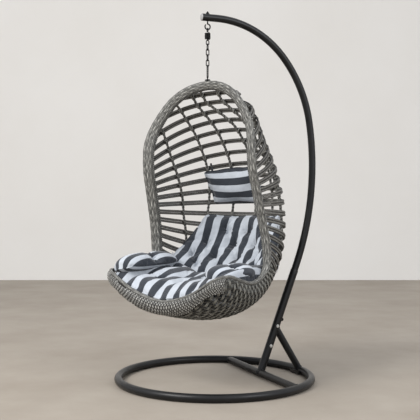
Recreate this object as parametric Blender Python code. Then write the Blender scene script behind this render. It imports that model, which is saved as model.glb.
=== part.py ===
"""Hanging egg chair: a woven basket on a spring and chain, under a curved steel pole.

Metres, +Z up. The floor is z = 0, the stand lies in the YZ plane with its pole at +Y,
and the basket hangs turned by BASKET_YAW from facing -Y.
"""
import math

import bmesh
import bpy
from mathutils import Matrix, Vector
from mathutils.bvhtree import BVHTree

# ---------------------------------------------------------------- driving dimensions
GAP = 0.0004                    # clearance between neighbouring pieces
STAND_Y = -0.026                # the base ring's centre, so that the whole is centred

RING_TUBE_R = 0.021
RING_R = 0.504                  # centreline of the base ring
BAR_TUBE_R = 0.019
BAR_S = 0.266                   # cross bar, measured from the ring's centre to the pole
POST_R = 0.021
POST_BORE_R = 0.0197
POST_LEAN = math.radians(20.7)
POST_TOP_Z = 0.570
POLE_R = 0.019
POLE_FOOT_Z = 0.140             # the pole is pushed down into the post to here
LEAN_LENGTH = 0.594             # straight stretch of the leaning pole, from z = 0.042
LEAN_START = (0.274, 0.042)     # (s, z) where that stretch begins
POLE_ARCS = ((1.545, 29.6), (0.700, 31.6), (0.511, 49.5))   # (radius, degrees turned)
POLE_TIP_S = -0.072
BRACE_R = 0.019
BRACE_TOP_Z = 0.262

HOOK_S = -0.040                 # the hanging axis
HOOK_Y = STAND_Y + HOOK_S
HOOK_Z = 1.860                  # centre of the hook's ring
HOOK_RING_R = 0.0145
HOOK_WIRE_R = 0.0035
LINK_WIRE_R = 0.0025
CROWN_STEP = 2 * LINK_WIRE_R + 0.0005      # one wire's centre above the other, in contact
LINK_PITCH = 0.0335
LINK_HALF_WIDTH = 0.0075
SPRING_R = 0.0135               # centreline of the coil
SPRING_WIRE_R = 0.0021
SPRING_TOP_Z = 1.8280
SPRING_PITCH = 0.0046
SPRING_TURNS = 7.5
LOOP_LENGTH = 0.024             # the eye under the coil
LOOP_END_Z = 1.5905             # lower crown of the long loop that carries the basket
STUD_R = 0.0040
STUD_HEAD_R = 0.0065
STUD_HEAD_Z = 1.5705
STUD_END_Z = 1.5665
PLATE_Z = 1.5765
POCKET_R = 0.0085               # of the hollow for the stud's head in the rim's top
POCKET_Z = (1.562, 1.600)

BASKET_YAW = math.radians(30.0)
RIB_R = 0.007
ROW_HALF_HEIGHT = 0.0125
ROW_HALF_THICK = 0.004
ROW_COUNT = 18
ROW_END_GAP = 0.032             # from the rim's centreline to the end of a row
BOWL_THICK = 0.008
BASE_LIFT = 0.005               # clear of the ribs, whose stretches are straight
ROW_LIFT = 0.0030               # the same for the woven rows
APRON_WIDTH = 0.062
APRON_TOP = 0.016               # from the rim's centreline to the apron's upper edge
APRON_FIRST_ROW = 27.35
LAST_ROW = 30
APRON_THICK = 0.005
APRON_LIFT = 0.006              # clear of the woven base, whose faces are flat
SQUARENESS = 2.15                # exponent of the basket's horizontal sections

# Half of the rim, from the top round to the middle of the front lip. Each point is
# (row, forward, sideways, height); row counts the woven rows from the top. The first
# and last points lie on the other half, so that the halves meet smoothly.
RIM_POINTS = (
    (-0.5, 0.019, -0.118, 1.527), (0, 0.000, 0.000, 1.551), (0.5, 0.019, 0.118, 1.527),
    (1, 0.038, 0.212, 1.468),
    (2, 0.063, 0.303, 1.345), (3, 0.082, 0.333, 1.255), (4, 0.086, 0.339, 1.193),
    (6, 0.080, 0.342, 1.100), (8, 0.061, 0.345, 1.026), (10, 0.043, 0.349, 0.958),
    (12, 0.026, 0.352, 0.890), (14, 0.006, 0.358, 0.812), (16, -0.008, 0.364, 0.731),
    (18, -0.012, 0.366, 0.664), (20, 0.000, 0.368, 0.605), (22, 0.055, 0.371, 0.562),
    (24, 0.140, 0.374, 0.544), (26, 0.245, 0.380, 0.567), (27, 0.322, 0.380, 0.586),
    (28, 0.368, 0.325, 0.568), (29, 0.366, 0.175, 0.488), (30, 0.362, 0.000, 0.449),
    (31, 0.366, -0.175, 0.488),
)
# The basket's middle outline, over the back and under the seat to the same lip:
# (row, forward, height).
BACK_POINTS = (
    (0, 0.000, 1.551), (1, -0.038, 1.507), (2, -0.075, 1.465), (3, -0.115, 1.422),
    (4, -0.160, 1.376), (6, -0.262, 1.272), (8, -0.358, 1.154), (10, -0.425, 1.018),
    (12, -0.453, 0.873), (14, -0.428, 0.730), (16, -0.352, 0.602), (18, -0.237, 0.500),
    (20, -0.115, 0.424), (22, -0.008, 0.377), (24, 0.102, 0.356), (26, 0.215, 0.371),
    (28, 0.315, 0.400), (29, 0.349, 0.418), (30, 0.362, 0.449),
)
# The rim's half width and half thickness: (row, half width, half thickness).
RIM_SIZES = ((0, 0.025, 0.012), (3, 0.033, 0.012), (17, 0.033, 0.012), (19.5, 0.028, 0.012),
             (21.5, 0.017, 0.011), (24, 0.0105, 0.009), (30, 0.0095, 0.0085))
# How far the woven base stays from the rim's centreline: (row, clearance).
BASE_EDGE = ((18, 0.028), (22, 0.024), (25, 0.016), (30, 0.015))
# Each rib's sideways position at the three heights in RIB_HEIGHTS.
RIB_HEIGHTS = (0.85, 1.33, 1.48)
RIB_SIDES = ((-0.322, -0.310, -0.310), (-0.257, -0.201, -0.215), (-0.151, -0.084, -0.120),
             (-0.015, 0.048, -0.060), (0.118, 0.160, 0.045), (0.225, 0.245, 0.150),
             (0.300, 0.300, 0.250))

# Name, centre and half sizes of the two rolls over the basket's sides.
ARM_CUSHIONS = (("arm_cushion_right", (0.302, -0.185, 0.601), (0.051, 0.137, 0.043)),
                ("arm_cushion_left", (-0.303, -0.122, 0.623), (0.049, 0.194, 0.051)))

# ---------------------------------------------------------------- scene and materials


def clear_scene():
    for obj in list(bpy.data.objects):
        bpy.data.objects.remove(obj, do_unlink=True)


def make_material(name, color, roughness, metallic=0.0):
    mat = bpy.data.materials.new(name)
    mat.use_nodes = True
    shader = mat.node_tree.nodes["Principled BSDF"]
    shader.inputs["Base Color"].default_value = (*color, 1.0)
    shader.inputs["Roughness"].default_value = roughness
    shader.inputs["Metallic"].default_value = metallic
    mat.diffuse_color = (*color, 1.0)
    return mat


def place(name, data, mat):
    obj = bpy.data.objects.new(name, data)
    bpy.context.scene.collection.objects.link(obj)
    data.materials.append(mat)
    return obj


def smooth(mesh, degrees=40.0):
    mesh.shade_smooth()
    mesh.set_sharp_from_angle(angle=math.radians(degrees))


# ---------------------------------------------------------------- general shapes


def loft(name, rings, mat, closed=False):
    """One solid through rings of points, with flat ends unless the rings close up."""
    mesh = bpy.data.meshes.new(name)
    bm = bmesh.new()
    rows = [[bm.verts.new(point) for point in ring] for ring in rings]
    count = len(rows[0])
    last = len(rows) if closed else len(rows) - 1
    for i in range(last):
        here = rows[i]
        there = rows[(i + 1) % len(rows)]
        for k in range(count):
            j = (k + 1) % count
            bm.faces.new((here[k], here[j], there[j], there[k]))
    if not closed:
        bm.faces.new(list(reversed(rows[0])))
        bm.faces.new(rows[-1])
    bmesh.ops.recalc_face_normals(bm, faces=bm.faces)
    bm.to_mesh(mesh)
    bm.free()
    smooth(mesh)
    return place(name, mesh, mat)


def sheet_solid(name, front, back, mat):
    """One solid between two grids of points that face each other."""
    mesh = bpy.data.meshes.new(name)
    bm = bmesh.new()
    near = [[bm.verts.new(point) for point in line] for line in front]
    far = [[bm.verts.new(point) for point in line] for line in back]
    rows = len(near)
    cols = len(near[0])
    for i in range(rows - 1):
        for k in range(cols - 1):
            bm.faces.new((near[i][k], near[i][k + 1], near[i + 1][k + 1], near[i + 1][k]))
            bm.faces.new((far[i][k], far[i + 1][k], far[i + 1][k + 1], far[i][k + 1]))
    border = [(0, k) for k in range(cols)]
    border += [(i, cols - 1) for i in range(1, rows)]
    border += [(rows - 1, k) for k in range(cols - 2, -1, -1)]
    border += [(i, 0) for i in range(rows - 2, 0, -1)]
    for a, b in zip(border, border[1:] + border[:1]):
        bm.faces.new((near[a[0]][a[1]], far[a[0]][a[1]], far[b[0]][b[1]], near[b[0]][b[1]]))
    bmesh.ops.recalc_face_normals(bm, faces=bm.faces)
    bm.to_mesh(mesh)
    bm.free()
    smooth(mesh, 60.0)
    return place(name, mesh, mat)


def tube(name, points, radius, mat, resolution=3, cyclic=False):
    """A round bar along points; resolution 1, 2, 3 ... gives 6, 8, 10 ... sides."""
    curve = bpy.data.curves.new(name, "CURVE")
    curve.dimensions = "3D"
    curve.bevel_depth = radius
    curve.bevel_resolution = resolution
    curve.use_fill_caps = not cyclic
    spline = curve.splines.new("POLY")
    spline.points.add(len(points) - 1)
    for knot, point in zip(spline.points, points):
        knot.co = (*point, 1.0)
    spline.use_cyclic_u = cyclic
    spline.use_smooth = True
    return place(name, curve, mat)


def round_bar(name, points, radius, mat, resolution=3, cyclic=False):
    """The same bar as a mesh, so that it can be cut or cut others."""
    bar = tube(name, points, radius, mat, resolution, cyclic)
    bpy.context.view_layer.update()
    mesh = bpy.data.meshes.new_from_object(bar.evaluated_get(
        bpy.context.evaluated_depsgraph_get()))
    bpy.data.objects.remove(bar, do_unlink=True)
    bm = bmesh.new()
    bm.from_mesh(mesh)
    bmesh.ops.remove_doubles(bm, verts=bm.verts, dist=0.00001)
    bmesh.ops.recalc_face_normals(bm, faces=bm.faces)
    bm.to_mesh(mesh)
    bm.free()
    mesh.materials.clear()
    return place(name, mesh, mat)


def turned(name, outline, mat, sides=16):
    """A solid turned about its own Z axis; outline is (radius, z), closed on itself."""
    mesh = bpy.data.meshes.new(name)
    bm = bmesh.new()
    rings = []
    for i in range(sides):
        angle = 2 * math.pi * i / sides
        rings.append([bm.verts.new((r * math.cos(angle), r * math.sin(angle), z))
                      for r, z in outline])
    count = len(outline)
    for i in range(sides):
        here = rings[i]
        there = rings[(i + 1) % sides]
        for k in range(count):
            j = (k + 1) % count
            bm.faces.new((here[k], here[j], there[j], there[k]))
    bmesh.ops.recalc_face_normals(bm, faces=bm.faces)
    bm.to_mesh(mesh)
    bm.free()
    smooth(mesh)
    return place(name, mesh, mat)


def disc(name, radius, height, mat, sides=12):
    """A short solid cylinder standing on its own origin."""
    mesh = bpy.data.meshes.new(name)
    bm = bmesh.new()
    bmesh.ops.create_cone(bm, cap_ends=True, segments=sides, radius1=radius,
                          radius2=radius, depth=height)
    bmesh.ops.translate(bm, vec=(0, 0, height / 2), verts=bm.verts)
    bm.to_mesh(mesh)
    bm.free()
    smooth(mesh)
    return place(name, mesh, mat)


def cut(obj, cutter):
    """Subtract cutter from obj; the cutter stays in the scene as a hidden guide."""
    cutter.hide_render = True
    cutter.display_type = "WIRE"
    modifier = obj.modifiers.new("cut_" + cutter.name, "BOOLEAN")
    modifier.operation = "DIFFERENCE"
    modifier.solver = "EXACT"
    modifier.object = cutter


def catmull(points, at):
    """Value at parameter `at` of a smooth curve; each point is (parameter, values...)."""
    last = len(points) - 1
    i = 0
    while i < last - 1 and points[i + 1][0] < at:
        i += 1
    p1 = points[i]
    p2 = points[i + 1]
    p0 = points[i - 1] if i else p1
    p3 = points[i + 2] if i + 2 <= last else p2
    span = p2[0] - p1[0]
    x = (at - p1[0]) / span
    out = []
    for k in range(1, len(p1)):
        m1 = (p2[k] - p0[k]) / (p2[0] - p0[0]) * span
        m2 = (p3[k] - p1[k]) / (p3[0] - p1[0]) * span
        out.append((2 * x ** 3 - 3 * x ** 2 + 1) * p1[k] + (x ** 3 - 2 * x ** 2 + x) * m1
                   + (3 * x ** 2 - 2 * x ** 3) * p2[k] + (x ** 3 - x ** 2) * m2)
    return out


# ---------------------------------------------------------------- stand


def stand_point(s, z, x=0.0):
    return Vector((x, STAND_Y + s, z))


def lean_s(z):
    """Where the leaning post's centreline is at height z."""
    return LEAN_START[0] + (z - LEAN_START[1]) * math.tan(POST_LEAN)


def base_torus(name, grow, mat):
    """The base ring's tube, with a flat of its twelve-sided section on the floor."""
    rings = []
    for i in range(48):
        turn = 2 * math.pi * i / 48
        out = Vector((math.sin(turn), math.cos(turn), 0))
        centre = stand_point(0, RING_TUBE_R * math.cos(math.pi / 12)) + out * RING_R
        ring = []
        for k in range(12):
            angle = 2 * math.pi * (k + 0.5) / 12
            ring.append(centre + (out * math.cos(angle) + Vector((0, 0, math.sin(angle))))
                        * (RING_TUBE_R + grow))
        rings.append(ring)
    return loft(name, rings, mat, closed=True)


def pole_points():
    """Centreline of the pole, from inside the post to the tip over the basket."""
    s, z = LEAN_START
    points = [stand_point(lean_s(POLE_FOOT_Z), POLE_FOOT_Z),
              stand_point(lean_s(0.36), 0.36)]
    s += LEAN_LENGTH * math.sin(POST_LEAN)
    z += LEAN_LENGTH * math.cos(POST_LEAN)
    points.append(stand_point(s, z))
    heading = math.degrees(POST_LEAN)
    for radius, turn in POLE_ARCS:
        steps = max(5, round(turn / 5))
        for _ in range(steps):
            middle = math.radians(heading - turn / steps / 2)
            step = 2 * radius * math.sin(math.radians(turn / steps / 2))
            s += step * math.sin(middle)
            z += step * math.cos(middle)
            heading -= turn / steps
            points.append(stand_point(s, z))
    points.append(stand_point(POLE_TIP_S, z))
    return points


def make_stand(steel, bright, plug):
    base_torus("base_ring", 0.0, steel)
    ring_cut = base_torus("cutter_ring", GAP, steel)
    half = math.sqrt(RING_R ** 2 - BAR_S ** 2)
    ends = [stand_point(BAR_S, RING_TUBE_R, -half), stand_point(BAR_S, RING_TUBE_R, half)]
    bar = round_bar("cross_bar", ends, BAR_TUBE_R, steel, 4)
    cut(bar, ring_cut)

    along = Vector((0, math.sin(POST_LEAN), math.cos(POST_LEAN)))
    foot = stand_point(lean_s(RING_TUBE_R), RING_TUBE_R)
    length = (POST_TOP_Z - RING_TUBE_R) / math.cos(POST_LEAN)
    post = turned("lower_post", ((POST_R, 0), (POST_R, length),
                                 (POST_BORE_R, length), (POST_BORE_R, 0)), steel)
    post.location = foot
    post.rotation_euler = (-POST_LEAN, 0, 0)
    bar_cut = round_bar("cutter_bar", ends, BAR_TUBE_R + GAP, steel, 4)
    cut(post, bar_cut)
    post_cut = round_bar("cutter_post", [foot, foot + along * length], POST_R + GAP, steel, 6)

    brace = round_bar("brace", [stand_point(lean_s(BRACE_TOP_Z), BRACE_TOP_Z),
                                stand_point(RING_R, RING_TUBE_R)], BRACE_R, steel, 4)
    cut(brace, post_cut)
    cut(brace, ring_cut)
    make_brace_foot(steel)

    points = pole_points()
    pole = round_bar("pole", points, POLE_R, steel, 5)
    ends = [hang_point(0, 0, HOOK_Z), hang_point(0, 0, HOOK_Z + 0.09)]
    hole = round_bar("cutter_hook_hole", ends, HOOK_WIRE_R + 0.0008, steel, 3)
    cut(pole, hole)
    tip = points[-1] + Vector((0, -GAP, 0))
    tube("pole_end_plug", [tip, tip + Vector((0, -0.005, 0))], POLE_R - 0.0005, plug, 5)
    make_stand_bolts(steel, bright, along)
    return points[-1].z


def make_brace_foot(steel):
    """Flat tab inside the ring, under the brace's lower end."""
    bm = bmesh.new()
    bmesh.ops.create_cube(bm, size=1.0)
    bmesh.ops.scale(bm, vec=(0.10, 0.007, 0.018), verts=bm.verts)
    mesh = bpy.data.meshes.new("brace_foot")
    bm.to_mesh(mesh)
    bm.free()
    foot = place("brace_foot", mesh, steel)
    foot.location = stand_point(0.4755, 0.013)


def make_stand_bolts(steel, bright, along):
    """Two bolt heads on the post's side and a nut on its back."""
    for name, z in (("post_bolt_upper", 0.270), ("post_bolt_lower", 0.165)):
        head = disc(name, 0.0075, 0.005, bright, 6)
        head.rotation_euler = (0, math.pi / 2, 0)
        head.location = stand_point(lean_s(z), z, POST_R + GAP)
    nut = disc("post_nut", 0.009, 0.007, steel, 6)
    nut.rotation_euler = (-math.pi / 2 - POST_LEAN, 0, 0)
    nut.location = (stand_point(lean_s(0.310), 0.310)
                    + Vector((0, along.z, -along.y)) * (POST_R + GAP))


# ---------------------------------------------------------------- hook, spring and chain


def hang_point(x, y, z):
    return Vector((x, HOOK_Y + y, z))


def oval(top, bottom, half_width, across, steps=8):
    """Centreline of a link between two crown heights; across is "X" or "Y"."""
    points = []
    for middle, start in ((top - half_width, 0.0), (bottom + half_width, math.pi)):
        for i in range(steps + 1):
            angle = start + math.pi * i / steps
            side = half_width * math.cos(angle)
            z = middle + half_width * math.sin(angle)
            points.append(hang_point(side, 0, z) if across == "X" else hang_point(0, side, z))
    return points


def make_hook(pole_z, steel):
    """Threaded shank through the pole, ending in an open ring below it."""
    points = [hang_point(0, 0, pole_z + POLE_R + 0.013),
              hang_point(0, 0, HOOK_Z + HOOK_RING_R + 0.004)]
    for i in range(23):
        angle = math.radians(90 - 14 * i)
        points.append(hang_point(0, HOOK_RING_R * math.cos(angle),
                                 HOOK_Z + HOOK_RING_R * math.sin(angle)))
    tube("hook", points, HOOK_WIRE_R, steel, 2)
    low = pole_z + POLE_R + GAP
    inner = (HOOK_WIRE_R + GAP) / math.cos(math.pi / 6)
    nut = turned("hook_nut", ((0.0085, 0), (0.0085, 0.007), (inner, 0.007), (inner, 0)),
                 steel, 6)
    nut.location = hang_point(0, 0, low)


def make_spring(steel):
    """Close-wound coil with a loop at each end; each loop keeps a small gap to it."""
    crown = HOOK_Z - HOOK_RING_R + HOOK_WIRE_R + LINK_WIRE_R + 0.0005
    top = SPRING_TOP_Z + SPRING_WIRE_R
    tube("spring_top_loop", oval(crown, top + GAP + LINK_WIRE_R, LINK_HALF_WIDTH, "X"),
         LINK_WIRE_R, steel, 1, cyclic=True)
    steps = 12
    coil = []
    for i in range(int(SPRING_TURNS * steps) + 1):
        angle = 2 * math.pi * i / steps
        coil.append(hang_point(SPRING_R * math.cos(angle), SPRING_R * math.sin(angle),
                               SPRING_TOP_Z - SPRING_PITCH * i / steps))
    tube("spring_coil", coil, SPRING_WIRE_R, steel, 1)
    low = SPRING_TOP_Z - SPRING_PITCH * SPRING_TURNS - SPRING_WIRE_R
    start = low - GAP - LINK_WIRE_R
    tube("spring_bottom_loop", oval(start, start - LOOP_LENGTH, LINK_HALF_WIDTH, "Y"), LINK_WIRE_R,
         steel, 1, cyclic=True)
    return start - LOOP_LENGTH


def make_chain(top, steel):
    """Four links, each through the next, then the long loop that carries the basket."""
    crown = top + CROWN_STEP
    for i in range(4):
        across = "XY"[i % 2]
        tube("chain_link_%d" % (i + 1), oval(crown, crown - LINK_PITCH, LINK_HALF_WIDTH, across),
             LINK_WIRE_R, steel, 1, cyclic=True)
        crown += CROWN_STEP - LINK_PITCH
    tube("hanger_loop", oval(crown, LOOP_END_Z, LINK_HALF_WIDTH, "X"), LINK_WIRE_R, steel,
         1, cyclic=True)
    top = LOOP_END_Z - LINK_WIRE_R - GAP
    stud_outline = ((0.0006, top), (STUD_R, top), (STUD_R, STUD_HEAD_Z),
                    (STUD_HEAD_R, STUD_HEAD_Z), (STUD_HEAD_R, STUD_END_Z), (0.0006, STUD_END_Z))
    stud = turned("hanger_stud", stud_outline, steel, 12)
    stud.location = hang_point(0, 0, 0)
    bore = STUD_R + 0.0008
    plate_outline = ((bore, PLATE_Z), (0.0150, PLATE_Z), (0.0130, PLATE_Z + 0.006),
                     (bore, PLATE_Z + 0.006))
    plate = turned("hanger_plate", plate_outline, steel, 16)
    plate.location = hang_point(0, 0, 0)


# ---------------------------------------------------------------- basket


def rim_at(row, side=1.0):
    forward, sideways, height = catmull(RIM_POINTS, row)
    return Vector((side * sideways, -forward, height))


def shell_at(row, angle):
    """Point of the basket's surface: angle 0 is the middle of the back, +-90 the rim."""
    rim_f, half, rim_z = catmull(RIM_POINTS, row)
    back_f, back_z = catmull(BACK_POINTS, row)
    c = abs(math.cos(angle))
    s = abs(math.sin(angle))
    radius = (c ** SQUARENESS + s ** SQUARENESS) ** (-1 / SQUARENESS)
    inward = radius * math.cos(angle)
    return Vector((half * radius * math.sin(angle),
                   -(rim_f + (back_f - rim_f) * inward),
                   rim_z + (back_z - rim_z) * inward))


def shell_frame(row, angle):
    """Point, outward normal and downward direction of the surface."""
    step = 0.02
    low_row = max(row - step, 0.0)
    high_row = min(row + step, 30.0)
    here = shell_at(row, angle)
    down = (shell_at(high_row, angle) - shell_at(low_row, angle)).normalized()
    across = (shell_at(row, angle + step) - shell_at(row, angle - step)).normalized()
    normal = down.cross(across).normalized()
    middle = Vector((0.0, 0.02, 0.85))
    if normal.dot(here - middle) < 0:
        normal = -normal
    return here, normal, across.cross(normal).normalized()


def angle_at(row, sideways):
    """Angle at which the surface is that far sideways from the middle."""
    low = 0.0
    high = math.pi / 2
    for _ in range(40):
        middle = (low + high) / 2
        if abs(shell_at(row, middle).x) < abs(sideways):
            low = middle
        else:
            high = middle
    return math.copysign((low + high) / 2, sideways)


def edge_angle(row, clearance):
    """Largest angle whose point keeps that clearance to the rim's centreline."""
    rim = rim_at(row)
    low = 0.0
    high = math.pi / 2
    for _ in range(30):
        middle = (low + high) / 2
        if (shell_at(row, middle) - rim).length > clearance:
            low = middle
        else:
            high = middle
    return low


def rim_half_size(row):
    """Half width and half thickness: a wide band up the sides, a slim roll at the lip."""
    return catmull(RIM_SIZES, row)


def rim_rings():
    rows = [0, 0.25, 0.5, 0.75, 1, 1.5, 2, 3, 4, 5, 6, 8, 10, 12, 14, 16, 18, 19, 20, 21, 22,
            23, 24, 25, 26, 26.5, 27, 27.5, 28, 28.5, 29, 29.5, 30]
    path = [(row, 1.0) for row in rows] + [(row, -1.0) for row in reversed(rows[1:-1])]
    points = [rim_at(row, side) for row, side in path]
    rings = []
    for i, (row, side) in enumerate(path):
        here = points[i]
        along = (points[(i + 1) % len(points)] - points[i - 1]).normalized()
        out = Vector((here.x, min(here.y + 0.09, 0.0), max(here.z - 1.05, 0.0)))
        out = out.normalized() + Vector((0, -math.tan(math.radians(18)), 0))
        out = (out - along * out.dot(along)).normalized()
        thick = along.cross(out)
        wide, deep = rim_half_size(row)
        ring = []
        for k in range(10):
            angle = 2 * math.pi * k / 10
            ring.append(here + out * wide * math.cos(angle)
                        + thick * deep * math.sin(angle))
        rings.append(ring)
    return rings


def make_rim(wicker):
    rim = loft("rim", rim_rings(), wicker, closed=True)
    pocket = round_bar("cutter_stud_pocket", [Vector((0, 0, z)) for z in POCKET_Z], POCKET_R,
                       wicker, 3)
    cut(rim, pocket)
    return [rim, pocket]


def rib_side(sides, z):
    """Sideways position of a rib at height z; the ribs draw together under the seat."""
    if z < RIB_HEIGHTS[0]:
        return sides[0] * (1 - 0.12 * ((RIB_HEIGHTS[0] - z) / 0.5) ** 2)
    knots = [(height, side) for height, side in zip(RIB_HEIGHTS, sides)]
    return catmull(knots, min(z, RIB_HEIGHTS[-1]))[0]


def make_ribs(wicker):
    ribs = []
    for k, sides in enumerate(RIB_SIDES):
        points = []
        row = 0.0
        while row <= 30.0:
            height = catmull(BACK_POINTS, row)[1]
            x = rib_side(sides, height)
            half = catmull(RIM_POINTS, row)[1]
            if half > abs(x) + 0.002:
                point = shell_at(row, angle_at(row, x) if x else 0.0)
                if (point - rim_at(row, 1.0 if x >= 0 else -1.0)).length > 0.030:
                    points.append(point)
            row += 0.5 if row < 5 or row > 25 else 1.25
        ribs.append(tube("rib_%d" % (k + 1), points, RIB_R, wicker, 1))
    return ribs


def band(name, frames, offset, half_height, half_thick, mat):
    """Flat strand through surface frames, standing `offset` outside the surface."""
    rings = []
    for here, normal, down in frames:
        centre = here + normal * offset
        rings.append([centre + normal * a + down * b
                      for a, b in ((-half_thick, -half_height), (half_thick, -half_height),
                                   (half_thick, half_height), (-half_thick, half_height))])
    return loft(name, rings, mat)


def make_rows(wicker):
    rows = []
    offset = RIB_R + ROW_HALF_THICK + ROW_LIFT
    for j in range(1, ROW_COUNT + 1):
        edge = edge_angle(j, ROW_END_GAP)
        count = 20
        frames = [shell_frame(j, edge * (2 * i / count - 1)) for i in range(count + 1)]
        rows.append(band("woven_row_%02d" % j, frames, offset, ROW_HALF_HEIGHT,
                         ROW_HALF_THICK, wicker))
    return rows


def make_bowl(wicker):
    """Densely woven base under the seat, one shell outside the ribs."""
    inner = []
    outer = []
    start = RIB_R + BASE_LIFT
    for i in range(17):
        row = 18.75 + (29.5 - 18.75) * i / 16
        edge = edge_angle(row, catmull(BASE_EDGE, row)[0])
        frames = [shell_frame(row, edge * (2 * k / 20 - 1)) for k in range(21)]
        inner.append([here + normal * start for here, normal, _ in frames])
        outer.append([here + normal * (start + BOWL_THICK) for here, normal, _ in frames])
    return sheet_solid("woven_base", inner, outer, wicker)


def outer_surface(offset):
    """Search tree of the seat's outer surface, right up to the rim."""
    size = 32
    points = []
    for i in range(size + 1):
        row = 19 + 10.85 * i / size
        edge = edge_angle(row, 0.008)
        for k in range(size + 1):
            here, normal, _ = shell_frame(row, edge * (2 * k / size - 1))
            points.append(here + normal * offset)
    faces = []
    for i in range(size):
        for k in range(size):
            corner = i * (size + 1) + k
            faces.append((corner, corner + 1, corner + size + 2, corner + size + 1))
    return BVHTree.FromPolygons(points, faces)


def make_apron(wicker):
    """Tight band below the front lip, lying on the woven base."""
    tree = outer_surface(RIB_R + BASE_LIFT + BOWL_THICK + APRON_LIFT)
    near = []
    far = []
    steps = 14
    path = [(APRON_FIRST_ROW + (LAST_ROW - APRON_FIRST_ROW) * i / steps, 1.0)
            for i in range(steps + 1)]
    path += [(row, -1.0) for row, _ in reversed(path[:-1])]
    middle = Vector((0, -0.10, 0.55))
    for row, side in path:
        rim = rim_at(row, side)
        inward = Vector((-rim.x, -0.05 - rim.y, 0.0)).normalized()
        line_near = []
        line_far = []
        for share in (0.0, 0.33, 0.67, 1.0):
            reach = APRON_TOP + (APRON_WIDTH - APRON_TOP) * share
            guess = rim + (inward * 0.55 + Vector((0, 0, -0.83))) * reach
            spot, normal, _, _ = tree.find_nearest(guess)
            if normal.dot(spot - middle) < 0:
                normal = -normal
            line_near.append(spot)
            line_far.append(spot + normal * APRON_THICK)
        near.append(line_near)
        far.append(line_far)
    return sheet_solid("front_apron", near, far, wicker)


# ---------------------------------------------------------------- cushions


def pad(name, rows, upper, lower, thick, lift, mat, steps=8):
    """Cushion lying inside the basket's surface, thickest in its middle; upper and lower
    are the angles between which its first and last rows reach."""
    near = []
    far = []
    for i in range(steps + 1):
        a = 2 * i / steps - 1
        row = rows[0] + (rows[1] - rows[0]) * i / steps
        line_near = []
        line_far = []
        for k in range(steps + 1):
            b = 2 * k / steps - 1
            ends = [first + (last - first) * i / steps for first, last in zip(upper, lower)]
            here, normal, _ = shell_frame(row, ends[0] + (ends[1] - ends[0]) * k / steps)
            rise = (Vector((0, 0, lift)) - normal).normalized()
            crown = (1 - a ** 4) ** 0.5 * (1 - b ** 4) ** 0.5
            start = here - normal * 0.020
            line_near.append(start)
            line_far.append(start + rise * (0.025 + (thick - 0.025) * crown))
        near.append(line_near)
        far.append(line_far)
    return sheet_solid(name, near, far, mat)


def bolster(name, centre, radii, mat):
    mesh = bpy.data.meshes.new(name)
    bm = bmesh.new()
    bmesh.ops.create_uvsphere(bm, u_segments=14, v_segments=8, radius=1.0)
    bmesh.ops.scale(bm, vec=radii, verts=bm.verts)
    bmesh.ops.translate(bm, vec=centre, verts=bm.verts)
    bm.to_mesh(mesh)
    bm.free()
    smooth(mesh, 60.0)
    return place(name, mesh, mat)


def strap(name, row_span, angle, mat, steps=4):
    """Short webbing lying just inside the ribs' inner side."""
    frames = []
    for i in range(steps + 1):
        row = row_span[0] + (row_span[1] - row_span[0]) * i / steps
        here, normal, down = shell_frame(row, angle)
        frames.append((here - normal * 0.012, normal, down.cross(normal)))
    return band(name, frames, 0.0, 0.006, 0.0012, mat)


def make_cushions(fabric, webbing):
    pieces = [
        pad("seat_cushion", (19.6, 28.4), (-1.0, 1.0), (-1.0, 1.0), 0.150, 0.7, fabric),
        pad("back_cushion", (12.2, 18.6), (-0.80, 0.80), (-1.1, 1.1), 0.105, 0.0, fabric),
        pad("headrest", (8.3, 10.9), (-0.70, 0.17), (-0.62, 0.17), 0.070, 0.0, fabric),
    ]
    for name, centre, radii in ARM_CUSHIONS:
        pieces.append(bolster(name, centre, radii, fabric))
    for name, angle in (("headrest_strap_left", -0.60), ("headrest_strap_right", 0.06)):
        pieces.append(strap(name, (8.15, 7.6), angle, webbing))
    for name, angle in (("cushion_tie_right", 1.20), ("cushion_tie_left", -1.20)):
        pieces.append(strap(name, (18.2, 17.0), angle, webbing))
    return pieces


def make_basket(wicker, pale_wicker, fabric, webbing):
    """Everything that swivels, modelled facing -Y about the Z axis and then turned."""
    pivot = bpy.data.objects.new("swivel_axis", None)
    bpy.context.scene.collection.objects.link(pivot)
    pieces = make_rim(pale_wicker)
    pieces += make_ribs(wicker)
    pieces += make_rows(wicker)
    pieces.append(make_bowl(wicker))
    pieces.append(make_apron(pale_wicker))
    pieces += make_cushions(fabric, webbing)
    for piece in pieces:
        piece.parent = pivot
    pivot.matrix_world = (Matrix.Translation((0, HOOK_Y, 0))
                          @ Matrix.Rotation(BASKET_YAW, 4, "Z"))


def main():
    clear_scene()
    steel = make_material("black_steel", (0.018, 0.018, 0.019), 0.45, 0.3)
    bright = make_material("zinc_plate", (0.62, 0.62, 0.60), 0.30, 1.0)
    plug = make_material("grey_plug", (0.34, 0.34, 0.33), 0.55)
    wicker = make_material("dark_wicker", (0.085, 0.080, 0.072), 0.60)
    pale_wicker = make_material("grey_wicker", (0.27, 0.27, 0.255), 0.62)
    fabric = make_material("striped_fabric", (0.42, 0.45, 0.50), 0.90)
    webbing = make_material("webbing", (0.60, 0.61, 0.62), 0.85)
    pole_z = make_stand(steel, bright, plug)
    make_hook(pole_z, steel)
    make_chain(make_spring(steel), steel)
    make_basket(wicker, pale_wicker, fabric, webbing)


main()
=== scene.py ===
"""Looks of the hanging egg chair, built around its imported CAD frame.

In the basket's own frame the front is along -Y and the right along +X. A place on its
surface has a row, from 0 at the crown to 30 at the front lip, and an angle, from 0 at the
middle of the back to a right angle at the rim.
"""
import math

import bmesh
import bpy
import numpy as np
from mathutils import Matrix, Vector
from mathutils.bvhtree import BVHTree


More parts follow.
